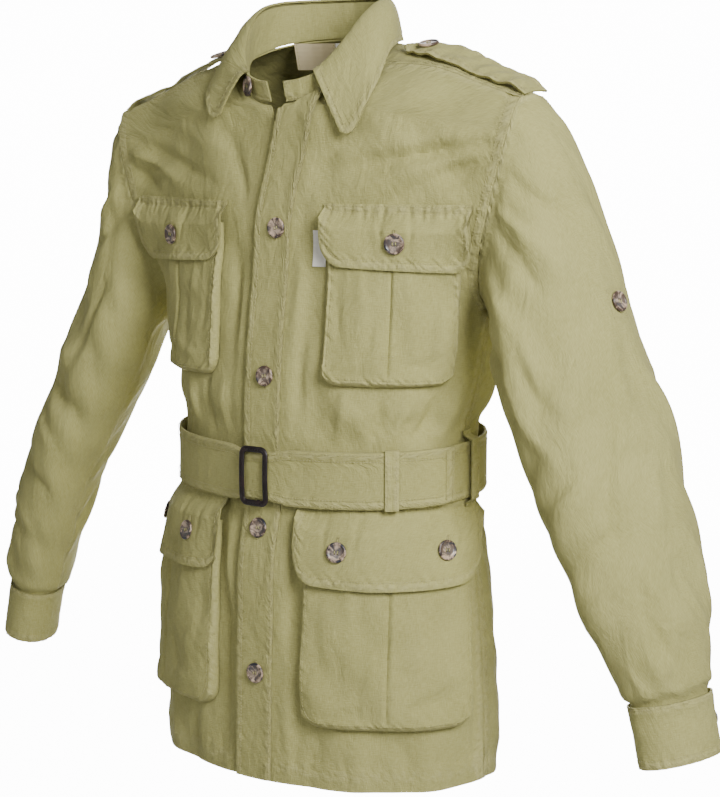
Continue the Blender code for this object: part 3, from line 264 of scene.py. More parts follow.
def add_node(tree: bpy.types.NodeTree, kind: str, settings: dict | None = None, links: dict | None = None):
    """Adds a shader node with its settings and links.

    Args:
        tree: the node tree.
        kind: the node's type.
        settings: values, by input name or number, or by property name.
        links: output sockets, by input name or number.

    Returns:
        The node.
    """
    node = tree.nodes.new(kind)
    for name, value in (settings or {}).items():
        if isinstance(name, int) or name in node.inputs:
            node.inputs[name].default_value = value
        else:
            setattr(node, name, value)
    for name, socket in (links or {}).items():
        tree.links.new(socket, node.inputs[name])
    return node


def fresh_material(name: str) -> tuple[bpy.types.Material, bpy.types.NodeTree, bpy.types.Node]:
    """A new material with its tree and its Principled shader."""
    material = bpy.data.materials.new(name)
    material.use_nodes = True
    return material, material.node_tree, material.node_tree.nodes["Principled BSDF"]


@dataclass(frozen=True)
class CottonTwill:
    """Washed cotton twill, woven and piece-dyed: matt, with slubs along and across, paler where seams rub."""

    name: str = "cotton_twill"
    base: str = "#9C985F"
    pale: str = "#AFAA72"
    deep: str = "#7C7A45"
    slub_mm: tuple[float, float] = (0.9, 7.0)
    twill_mm: float = 1.3
    roughness: float = 0.88
    sheen: float = 0.08

    def make(self) -> bpy.types.Material:
        """Builds the material."""
        material, tree, shader = fresh_material(self.name)
        cloth = add_node(tree, "ShaderNodeUVMap", {"uv_map": "cloth"}).outputs["UV"]
        thin, long = (1000 / size for size in self.slub_mm)
        # Real threads are 0.4 mm apart, finer than a pixel: slubs of about 1 mm stand for them
        warp_at = add_node(tree, "ShaderNodeMapping", {"Scale": (thin, long, 1)}, {"Vector": cloth})
        weft_at = add_node(tree, "ShaderNodeMapping", {"Scale": (long, thin, 1)}, {"Vector": cloth})
        warp = add_node(tree, "ShaderNodeTexNoise", {"Scale": 1, "Detail": 2, "Roughness": 0.55},
                        {"Vector": warp_at.outputs[0]}).outputs[0]
        weft = add_node(tree, "ShaderNodeTexNoise", {"Scale": 1, "Detail": 2, "Roughness": 0.55},
                        {"Vector": weft_at.outputs[0]}).outputs[0]
        weave = add_node(tree, "ShaderNodeMath", {"operation": "ADD"}, {0: warp, 1: weft}).outputs[0]
        ribs = add_node(tree, "ShaderNodeTexWave", {"Scale": 1000 / self.twill_mm / 20, "Distortion": 0.6,
                                                     "bands_direction": "DIAGONAL"}, {"Vector": cloth}).outputs[1]
        patches = add_node(tree, "ShaderNodeTexNoise", {"Scale": 14, "Detail": 3, "Roughness": 0.6},
                           {"Vector": cloth}).outputs[0]
        seam = add_node(tree, "ShaderNodeAttribute", {"attribute_name": "seam"}).outputs["Fac"]
        # Colour: slubs and dye patches, then the rubbed crests of the ripples along seams
        shade = add_node(tree, "ShaderNodeMapRange", {"From Min": 0.72, "From Max": 1.28}, {"Value": weave})
        body = add_node(tree, "ShaderNodeMix", {"data_type": "RGBA", 6: linear(self.deep), 7: linear(self.pale)},
                        {0: shade.outputs[0]}).outputs[2]
        even = add_node(tree, "ShaderNodeMix", {"data_type": "RGBA", 0: 0.58, 7: linear(self.base)},
                        {6: body}).outputs[2]
        dyed_at = add_node(tree, "ShaderNodeMapRange", {"From Min": 0.3, "From Max": 0.7, "To Min": 0.0,
                                                        "To Max": 0.30}, {"Value": patches})
        dyed = add_node(tree, "ShaderNodeMix", {"data_type": "RGBA", 7: linear(self.pale)},
                        {0: dyed_at.outputs[0], 6: even}).outputs[2]
        rub_at = add_node(tree, "ShaderNodeTexNoise", {"Scale": 150, "Detail": 2, "Roughness": 0.5},
                          {"Vector": cloth}).outputs[0]
        rub = add_node(tree, "ShaderNodeMath", {"operation": "MULTIPLY"}, {0: rub_at, 1: seam}).outputs[0]
        rubbed = add_node(tree, "ShaderNodeMapRange", {"From Min": 0.30, "From Max": 0.75, "To Max": 0.42},
                          {"Value": rub})
        worn = add_node(tree, "ShaderNodeMix", {"data_type": "RGBA", 7: linear("#B9B284")},
                        {0: rubbed.outputs[0], 6: dyed}).outputs[2]
        tree.links.new(worn, shader.inputs["Base Color"])
        # Relief: the weave, then small crumples, then ripples along the stitching
        fine = add_node(tree, "ShaderNodeMath", {"operation": "MULTIPLY_ADD", 1: 0.35}, {0: ribs, 2: weave})
        weave_bump = add_node(tree, "ShaderNodeBump", {"Strength": 0.75, "Distance": 0.00045},
                              {"Height": fine.outputs[0]})
        hang = add_node(tree, "ShaderNodeMapping", {"Scale": (1.0, 0.45, 1)}, {"Vector": cloth}).outputs[0]
        crumple = add_node(tree, "ShaderNodeTexNoise", {"Scale": 46, "Detail": 4, "Roughness": 0.6,
                                                        "Distortion": 0.7}, {"Vector": hang}).outputs[0]
        crumple_bump = add_node(tree, "ShaderNodeBump", {"Strength": 0.8, "Distance": 0.0036},
                                {"Height": crumple, "Normal": weave_bump.outputs[0]})
        ripple_bump = add_node(tree, "ShaderNodeBump", {"Strength": 1.0, "Distance": 0.0024},
                               {"Height": rub, "Normal": crumple_bump.outputs[0]})
        tree.links.new(ripple_bump.outputs[0], shader.inputs["Normal"])
        shader.inputs["Roughness"].default_value = self.roughness
        shader.inputs["Sheen Weight"].default_value = self.sheen
        shader.inputs["Sheen Roughness"].default_value = 0.5
        shader.inputs["Sheen Tint"].default_value = linear("#E6DFC2")
        shader.inputs["Specular IOR Level"].default_value = 0.15
        return material


@dataclass(frozen=True)
class SewingThread:
    """Spun polyester sewing thread, twisted: a little paler and glossier than the cloth."""

    name: str = "sewing_thread"
    colour: str = "#AFA973"
    dark: str = "#8A8450"

    def make(self) -> bpy.types.Material:
        """Builds the material."""
        material, tree, shader = fresh_material(self.name)
        place = add_node(tree, "ShaderNodeTexCoord").outputs["Object"]
        # Each stitch is a little darker or paler than the next
        vary = add_node(tree, "ShaderNodeTexNoise", {"Scale": 240, "Detail": 1}, {"Vector": place}).outputs[0]
        colour = add_node(tree, "ShaderNodeMix", {"data_type": "RGBA", 6: linear(self.dark), 7: linear(self.colour)},
                          {0: vary}).outputs[2]
        twist = add_node(tree, "ShaderNodeTexNoise", {"Scale": 3000, "Detail": 1}, {"Vector": place}).outputs[0]
        bump = add_node(tree, "ShaderNodeBump", {"Strength": 0.4, "Distance": 0.0001}, {"Height": twist})
        tree.links.new(colour, shader.inputs["Base Color"])
        tree.links.new(bump.outputs[0], shader.inputs["Normal"])
        shader.inputs["Roughness"].default_value = 0.6
        return material


@dataclass(frozen=True)
class MottledHorn:
    """Imitation horn, a cast polyester resin turned and tumbled: cloudy navy, brown and tan, with a soft polish."""

    name: str = "mottled_horn"
    dark: str = "#23242E"
    brown: str = "#4A3A30"
    tan: str = "#B79F88"

    def make(self) -> bpy.types.Material:
        """Builds the material."""
        material, tree, shader = fresh_material(self.name)
        place = add_node(tree, "ShaderNodeTexCoord").outputs["Object"]
        own = add_node(tree, "ShaderNodeObjectInfo").outputs["Random"]
        # Each button is cut from another place in the rod
        shift = add_node(tree, "ShaderNodeMath", {"operation": "MULTIPLY", 1: 0.4}, {0: own}).outputs[0]
        moved = add_node(tree, "ShaderNodeVectorMath", {"operation": "ADD"}, {0: place, 1: shift}).outputs[0]
        cloud = add_node(tree, "ShaderNodeTexNoise", {"Scale": 70, "Detail": 3, "Roughness": 0.55,
                                                      "Distortion": 1.2}, {"Vector": moved}).outputs[0]
        streak = add_node(tree, "ShaderNodeTexNoise", {"Scale": 95, "Detail": 3, "Roughness": 0.6,
                                                       "Distortion": 1.6}, {"Vector": moved}).outputs[0]
        first = add_node(tree, "ShaderNodeMapRange", {"From Min": 0.42, "From Max": 0.56}, {"Value": cloud})
        second = add_node(tree, "ShaderNodeMapRange", {"From Min": 0.49, "From Max": 0.62}, {"Value": streak})
        body = add_node(tree, "ShaderNodeMix", {"data_type": "RGBA", 6: linear(self.dark), 7: linear(self.brown)},
                        {0: first.outputs[0]}).outputs[2]
        mixed = add_node(tree, "ShaderNodeMix", {"data_type": "RGBA", 7: linear(self.tan)},
                         {0: second.outputs[0], 6: body}).outputs[2]
        level = add_node(tree, "ShaderNodeVectorMath", {"operation": "MULTIPLY", 1: (1, 1, 0)}, {0: place}).outputs[0]
        radius = add_node(tree, "ShaderNodeVectorMath", {"operation": "LENGTH"}, {0: level}).outputs[1]
        middle = add_node(tree, "ShaderNodeMapRange", {"From Min": 0.0085, "From Max": 0.0035, "To Max": 0.55},
                          {"Value": radius}).outputs[0]
        cloudy = add_node(tree, "ShaderNodeMath", {"operation": "MULTIPLY"}, {0: middle, 1: streak}).outputs[0]
        faced = add_node(tree, "ShaderNodeMix", {"data_type": "RGBA", 7: linear("#A79A8C")},
                         {0: cloudy, 6: mixed}).outputs[2]
        tree.links.new(faced, shader.inputs["Base Color"])
        scratch = add_node(tree, "ShaderNodeTexNoise", {"Scale": 900, "Detail": 2}, {"Vector": place}).outputs[0]
        rough = add_node(tree, "ShaderNodeMapRange", {"To Min": 0.22, "To Max": 0.42}, {"Value": scratch})
        tree.links.new(rough.outputs[0], shader.inputs["Roughness"])
        shader.inputs["IOR"].default_value = 1.54
        return material


@dataclass(frozen=True)
class CoveredLeather:
    """Dark calf leather glued and stitched over a metal frame, edges burnished: fine pebbled grain, soft gloss."""

    name: str = "covered_leather"
    colour: str = "#150C0D"
    worn: str = "#2B1B1A"
    grain_mm: float = 1.1

    def make(self) -> bpy.types.Material:
        """Builds the material."""
        material, tree, shader = fresh_material(self.name)
        place = add_node(tree, "ShaderNodeTexCoord").outputs["Object"]
        grain = add_node(tree, "ShaderNodeTexVoronoi", {"Scale": 1000 / self.grain_mm}, {"Vector": place}).outputs[0]
        cloud = add_node(tree, "ShaderNodeTexNoise", {"Scale": 90, "Detail": 3}, {"Vector": place}).outputs[0]
        rubbed = add_node(tree, "ShaderNodeMapRange", {"From Min": 0.45, "From Max": 0.75}, {"Value": cloud})
        colour = add_node(tree, "ShaderNodeMix", {"data_type": "RGBA", 6: linear(self.colour), 7: linear(self.worn)},
                          {0: rubbed.outputs[0]}).outputs[2]
        bump = add_node(tree, "ShaderNodeBump", {"Strength": 0.35, "Distance": 0.0003}, {"Height": grain})
        tree.links.new(colour, shader.inputs["Base Color"])
        tree.links.new(bump.outputs[0], shader.inputs["Normal"])
        shader.inputs["Roughness"].default_value = 0.38
        return material


@dataclass(frozen=True)
class WovenLabel:
    """Satin-woven polyester label, cut and folded: close level threads and a dull silk gloss."""

    name: str
    colour: str
    thread_mm: float = 0.7

    def make(self) -> bpy.types.Material:
        """Builds the material."""
        material, tree, shader = fresh_material(self.name)
        place = add_node(tree, "ShaderNodeTexCoord").outputs["Object"]
        lines = add_node(tree, "ShaderNodeTexWave", {"Scale": 1000 / self.thread_mm / 20, "Distortion": 0.4,
                                                      "bands_direction": "Z"}, {"Vector": place}).outputs[1]
        vary = add_node(tree, "ShaderNodeTexNoise", {"Scale": 200, "Detail": 2}, {"Vector": place}).outputs[0]
        shade = add_node(tree, "ShaderNodeMapRange", {"To Min": 0.0, "To Max": 0.25}, {"Value": vary})
        colour = add_node(tree, "ShaderNodeMix", {"data_type": "RGBA", 6: linear(self.colour), 7: linear("#8F8465")},
                          {0: shade.outputs[0]}).outputs[2]
        bump = add_node(tree, "ShaderNodeBump", {"Strength": 0.3, "Distance": 0.0002}, {"Height": lines})
        tree.links.new(colour, shader.inputs["Base Color"])
        tree.links.new(bump.outputs[0], shader.inputs["Normal"])
        shader.inputs["Roughness"].default_value = 0.55
        shader.inputs["Sheen Weight"].default_value = 0.1
        return material


@dataclass(frozen=True)
class OpalAcrylic:
    """Opal acrylic sweep, cast and matt: pale grey near the jacket, and white where a painted glow fills a wedge of the
    floor across from the camera. No lamp stands behind it.
    """

    name: str = "opal_acrylic_sweep"
    colour: str = "#C4C4C2"
    # Strength of the painted glow that the floor gives off; no lamp stands behind it
    glow: float = 13.0
    azimuth: float = 35.0
    distance: float = 2.0
    near_radius: float = 1.60
    spread: float = 0.195
    fade: float = 0.06

    def make(self) -> bpy.types.Material:
        """Builds the material: a painted glow, not a lamp, makes the floor emit light behind the jacket, across from
        the camera.
        """
        material, tree, shader = fresh_material(self.name)
        a = math.radians(self.azimuth)
        place = add_node(tree, "ShaderNodeTexCoord").outputs["Object"]
        start = (math.sin(a) * self.distance, -math.cos(a) * self.distance, 0)
        apart = add_node(tree, "ShaderNodeVectorMath", {"operation": "SUBTRACT", 1: start}, {0: place}).outputs[0]
        ahead = add_node(tree, "ShaderNodeVectorMath", {"operation": "DOT_PRODUCT", 1: (-math.sin(a), math.cos(a), 0)},
                         {0: apart}).outputs[1]
        aside = add_node(tree, "ShaderNodeVectorMath", {"operation": "DOT_PRODUCT", 1: (math.cos(a), math.sin(a), 0)},
                         {0: apart}).outputs[1]
        ratio = add_node(tree, "ShaderNodeMath", {"operation": "DIVIDE"}, {0: aside, 1: ahead}).outputs[0]
        wide = add_node(tree, "ShaderNodeMath", {"operation": "ABSOLUTE"}, {0: ratio}).outputs[0]
        across = add_node(tree, "ShaderNodeMapRange", {"From Min": self.spread + self.fade, "From Max": self.spread},
                          {"Value": wide}).outputs[0]
        far = add_node(tree, "ShaderNodeMapRange", {"From Min": self.distance + self.near_radius, "From Max":
                                                    self.distance + self.near_radius + 0.2}, {"Value": ahead}).outputs[0]
        # Painted glow: the floor emits light only in a wedge behind the jacket, across from the camera and beyond the
        # near radius, so the backdrop reads white
        painted_glow_patch = add_node(tree, "ShaderNodeMath", {"operation": "MULTIPLY"}, {0: far, 1: across}).outputs[0]
        glow = add_node(tree, "ShaderNodeMath", {"operation": "MULTIPLY", 1: self.glow}, {0: painted_glow_patch}).outputs[0]
        tree.links.new(glow, shader.inputs["Emission Strength"])
        shader.inputs["Emission Color"].default_value = linear("#FFFFFF")
        shader.inputs["Base Color"].default_value = linear(self.colour)
        shader.inputs["Roughness"].default_value = 0.95
        return material


class Wardrobe:
    """The materials of the jacket, each made once."""

    def __init__(self) -> None:
        """Makes every finish."""
        self.twill = CottonTwill().make()
        self.thread = SewingThread().make()
        self.horn = MottledHorn().make()
        self.leather = CoveredLeather().make()
        self.neck_label = WovenLabel("woven_neck_label", "#B9AB86").make()
        self.white_label = WovenLabel("woven_white_label", "#E9E6DA").make()


# Meshes

def quads(rows: int, columns: int, closed: bool) -> Array:
    """Corner numbers of a grid's faces, four each."""
    j = np.arange(rows - 1)[:, None]
    i = np.arange(columns if closed else columns - 1)[None, :]
    k = (i + 1) % columns
    corners = [j * columns + i, j * columns + k, (j + 1) * columns + k, (j + 1) * columns + i]
    return np.stack(np.broadcast_arrays(*corners), axis=-1).reshape(-1, 4)


def finish_object(name: str, mesh: bpy.types.Mesh, material: bpy.types.Material) -> bpy.types.Object:
    """Links a mesh object, shades it smooth but for its sharp edges, and sets it on the jacket's body."""
    mesh.polygons.foreach_set("use_smooth", [True] * len(mesh.polygons))
    mesh.set_sharp_from_angle(angle=math.radians(50))
    mesh.materials.append(material)
    obj = bpy.data.objects.new(name, mesh)
    bpy.context.scene.collection.objects.link(obj)
    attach(obj, "root")
    return obj


def outward(mesh: bpy.types.Mesh) -> None:
    """Turns a closed mesh's faces outwards."""
    shape = bmesh.new()
    shape.from_mesh(mesh)
    bmesh.ops.recalc_face_normals(shape, faces=shape.faces)
    shape.to_mesh(mesh)
    shape.free()


def cloth_wall(name: str, outer: Array, normals: Array, depth: float, material: bpy.types.Material,
               seam: Array | None = None, closed: bool = False) -> bpy.types.Object:
    """A sheet of cloth with real thickness.

    Args:
        name: name of the piece.
        outer: grid of points of the outer face.
        normals: unit normals of that face.
        depth: thickness of the cloth.
        material: its finish.
        seam: how close each point is to stitching, from 0 to 1.
        closed: whether the columns close into a tube.

    Returns:
        The object, with a map named cloth in metres along the cloth.
    """
    rows, columns = outer.shape[:2]
    shift = rows * columns
    grid = quads(rows, columns, closed)
    rim = []
    for j in (0, rows - 1):
        line = j * columns + np.arange(columns)
        pairs = np.stack([line, np.roll(line, -1)], axis=1)
        rim.append(pairs if closed else pairs[:-1])
    if not closed:
        for i in (0, columns - 1):
            line = i + columns * np.arange(rows)
            rim.append(np.stack([line[:-1], line[1:]], axis=1))
    edge = np.concatenate(rim)
    faces = np.concatenate([grid, grid + shift, np.stack([edge[:, 0], edge[:, 1], edge[:, 1] + shift,
                                                          edge[:, 0] + shift], axis=1)])
    points = settled(np.concatenate([outer.reshape(-1, 3), (outer - normals * depth).reshape(-1, 3)]))
    mesh = bpy.data.meshes.new(name)
    mesh.from_pydata(points.tolist(), [], faces.tolist())
    outward(mesh)
    around = travel(outer)
    down = travel(np.swapaxes(outer, 0, 1)).T
    flat = np.stack([around, down], axis=-1).reshape(-1, 2)
    corner = np.zeros(len(mesh.loops), np.int32)
    mesh.loops.foreach_get("vertex_index", corner)
    uv = flat[corner % shift]
    if closed:
        girth = around[:, -1] + np.linalg.norm(outer[:, -1] - outer[:, 0], axis=1)
        starts = np.zeros(len(mesh.polygons), np.int32)
        totals = np.zeros(len(mesh.polygons), np.int32)
        mesh.polygons.foreach_get("loop_start", starts)
        mesh.polygons.foreach_get("loop_total", totals)
        column = (corner % shift) % columns
        last = np.maximum.reduceat(column, starts)
        wraps = np.repeat(last == columns - 1, totals) & (column == 0)
        uv[wraps, 0] = girth[(corner[wraps] % shift) // columns]
    mesh.uv_layers.new(name="cloth").uv.foreach_set("vector", uv.astype(np.float32).ravel())
    closeness = np.zeros(2 * shift, np.float32)
    if seam is not None:
        closeness[:shift] = np.broadcast_to(seam, (rows, columns)).reshape(-1)
    mesh.attributes.new("seam", "FLOAT", "POINT").data.foreach_set("value", closeness)
    return finish_object(name, mesh, material)


def closeness(distance: Array, reach: float = 0.0055) -> Array:
    """How close a point is to stitching, from 1 on it to 0."""
    return np.exp(-((np.asarray(distance) / reach) ** 2))


class Stitching:
    """Rows of lockstitch as raised thread, gathered into one piece for each part of the jacket."""

    PITCH = 0.0031
    LENGTH = 0.0024
    HALF_WIDTH = 0.00036
    HEIGHT = 0.00034

    def __init__(self) -> None:
        """Starts with no rows."""
        self.points: dict[str, list[Array]] = {}
        self.faces: dict[str, list[Array]] = {}
        self.counts: dict[str, int] = {}

    def add(self, group: str, points: Array, faces: Array) -> None:
        """Adds a shape to a group's mesh."""
        first = self.counts.get(group, 0)
        self.points.setdefault(group, []).append(points)
        self.faces.setdefault(group, []).append(faces + first)
        self.counts[group] = first + len(points)

    def row(self, group: str, line: Array, normals: Array) -> None:
        """Lays stitches along a line of points that lie on the cloth.

        Args:
            group: name of the piece that the row belongs to.
            line: points along the row.
            normals: the cloth's normal at each point.
        """
        length = travel(line)
        count = max(int(length[-1] / self.PITCH), 1)
        middle = (np.arange(count) + 0.5) * length[-1] / count
        wander = np.sin(middle * 911.0) * 0.00008

        def read(at: Array, values: Array) -> Array:
            """Values at distances along the row."""
            return np.stack([np.interp(at, length, values[:, axis]) for axis in range(3)], axis=1)

        start, end = read(middle - self.LENGTH / 2, line), read(middle + self.LENGTH / 2, line)
        up = read(middle, normals)
        up /= np.linalg.norm(up, axis=1, keepdims=True)
        along = end - start
        along /= np.maximum(np.linalg.norm(along, axis=1, keepdims=True), 1e-9)
        side = np.cross(up, along)
        start, end = start + side * wander[:, None], end + side * wander[:, None]
        stations = []
        for f, wide, high in ((0, 0.25, -0.2), (0.22, 1.0, 1.0), (0.78, 1.0, 1.0), (1, 0.25, -0.2)):
            centre = start + (end - start) * f
            width, height = self.HALF_WIDTH * wide, self.HEIGHT * high
            for across, rise in ((-1, -0.35), (-0.6, 0.75), (0.6, 0.75), (1, -0.35)):
                lift = height * 1.0 + self.HEIGHT * (rise - 0.75) * wide
                stations.append(centre + side * (width * across) + up * lift)
        ring = np.stack(stations, axis=1)
        faces = []
        for station in range(3):
            for k in range(4):
                a, b = station * 4 + k, station * 4 + (k + 1) % 4
                faces.append((a, b, b + 4, a + 4))
        faces += [(3, 2, 1, 0), (12, 13, 14, 15)]
        shape = np.array(faces)
        every = (shape[None] + 16 * np.arange(count)[:, None, None]).reshape(-1, 4)
        self.add(group, ring.reshape(-1, 3), every)

    def buttonhole(self, group: str, centre: Array, up: Array, normal: Array, half: float = 0.0112) -> None:
        """Adds a long narrow ring of close stitches round a cut, longer than the button is wide.

        Args:
            group: name of the piece that it belongs to.
            centre: middle of the cut, on the cloth.
            up: direction of the cut.
            normal: the cloth's normal.
            half: half the length of the buttonhole.
        """
        side = np.cross(up, normal)
        track = []
        for k in range(48):
            angle = 2 * math.pi * k / 48
            long = math.copysign(half - 0.0010, math.sin(angle)) if abs(math.sin(angle)) > 0.35 else (
                (half - 0.0010) * math.sin(angle) / 0.35)
            track.append(centre + up * (long + 0.0008 * math.sin(angle)) + side * (0.0012 * math.cos(angle)))
        track = np.array(track)
        points = []
        for k, spot in enumerate(track):
            outwards = spot - centre - up * ((spot - centre) @ up) * 0.98
            outwards /= max(np.linalg.norm(outwards), 1e-9)
            bead = 0.00062 + 0.00006 * (-1) ** k
            for angle in np.linspace(0, 2 * math.pi, 7)[:-1]:
                points.append(spot + outwards * (bead * math.cos(angle)) + normal * (bead * 0.7 * math.sin(angle)))
        faces = []
        for j in range(48):
            for k in range(6):
                j2, k2 = (j + 1) % 48, (k + 1) % 6
                faces.append((j * 6 + k, j * 6 + k2, j2 * 6 + k2, j2 * 6 + k))
        self.add(group, np.array(points), np.array(faces))

    def build(self, material: bpy.types.Material) -> None:
        """Builds one mesh for each group."""
        for group, points in self.points.items():
            mesh = bpy.data.meshes.new(group)
            mesh.from_pydata(settled(np.concatenate(points)).tolist(), [], np.concatenate(self.faces[group]).tolist())
            outward(mesh)
            finish_object(group, mesh, material)
            log.info("%s: %d faces of thread", group, len(mesh.polygons))


# The cut

class Surface:
    """A panel's outer face: rows of points, read between them by two fractions."""

    def __init__(self, points: Array, axis: Array) -> None:
        """Keeps the points with their normals and lengths."""
        self.points = points
        self.normals = normals_of(points, axis)
        self.fractions = np.linspace(0, 1, len(points))
        self.lengths = travel(points)[:, -1]

    def read(self, grid: Array, s: Array, t: Array) -> Array:
        """Values of a grid between its rows and columns."""
        rows, columns = grid.shape[:2]
        s, t = np.broadcast_arrays(np.asarray(s, float), np.asarray(t, float))
        u, v = s * (columns - 1), t * (rows - 1)
        i = np.clip(np.floor(u).astype(int), 0, columns - 2)
        j = np.clip(np.floor(v).astype(int), 0, rows - 2)
        fu, fv = (u - i)[..., None], (v - j)[..., None]
        near = grid[j, i] * (1 - fu) + grid[j, i + 1] * fu
        far = grid[j + 1, i] * (1 - fu) + grid[j + 1, i + 1] * fu
        return near * (1 - fv) + far * fv

    def normal(self, s: Array, t: Array) -> Array:
        """Unit normals at fractions."""
        found = self.read(self.normals, s, t)
        return found / np.linalg.norm(found, axis=-1, keepdims=True)

    def at(self, s: Array, t: Array, lift: Array | float = 0.0) -> Array:
        """Points of the surface, moved out by lift."""
        return self.read(self.points, s, t) + self.normal(s, t) * np.asarray(lift)[..., None]

    def spot(self, s: Array, t: Array) -> tuple[Array, Array]:
        """Distance along the cloth from the centre line, and the row's height there."""
        s, t = np.broadcast_arrays(np.asarray(s, float), np.asarray(t, float))
        return s * np.interp(t, self.fractions, self.lengths), np.interp(t, self.fractions, self.points[:, 0, 2])

    def place(self, along: Array, z: Array) -> tuple[Array, Array]:
        """The fractions of the points this far along the cloth from the centre line, at this height."""
        along, z = np.broadcast_arrays(np.asarray(along, float), np.asarray(z, float))
        t = np.interp(z, self.points[:, 0, 2], self.fractions)
        return along / np.interp(t, self.fractions, self.lengths), t

    def find(self, x: Array, z: Array) -> tuple[Array, Array]:
        """The fractions of the points that have this x and z."""
        x, z = np.broadcast_arrays(np.asarray(x, float), np.asarray(z, float))
        t = np.interp(z, self.points[:, 0, 2], self.fractions)
        s = x / 0.25
        step = 1e-3
        for _ in range(12):
            here = self.at(s, t)
            along_s = (self.at(s + step, t) - here) / step
            along_t = (self.at(s, t + step) - here) / step
            dx, dz = x - here[..., 0], z - here[..., 2]
            det = along_s[..., 0] * along_t[..., 2] - along_t[..., 0] * along_s[..., 2]
            s = s + 0.8 * (dx * along_t[..., 2] - dz * along_t[..., 0]) / det
            t = t + 0.8 * (dz * along_s[..., 0] - dx * along_s[..., 2]) / det
        return s, t


def first_folds(folds: Rows, along: Array, down: Array) -> Array:
    """The largest folds, which the solids have as well."""
    height = np.zeros(np.broadcast(along, down).shape)
    for a0, d0, a1, d1, half, depth in folds:
        run = np.array([a1 - a0, d1 - d0])
        f = ((along - a0) * run[0] + (down - d0) * run[1]) / (run @ run)
        inside = np.clip(f, 0, 1)
        off = np.hypot(along - a0 - inside * run[0], down - d0 - inside * run[1])
        height += depth * np.exp(-((off / half) ** 2)) * np.sin(np.pi * np.clip(0.15 + 0.7 * f, 0, 1))
    return height


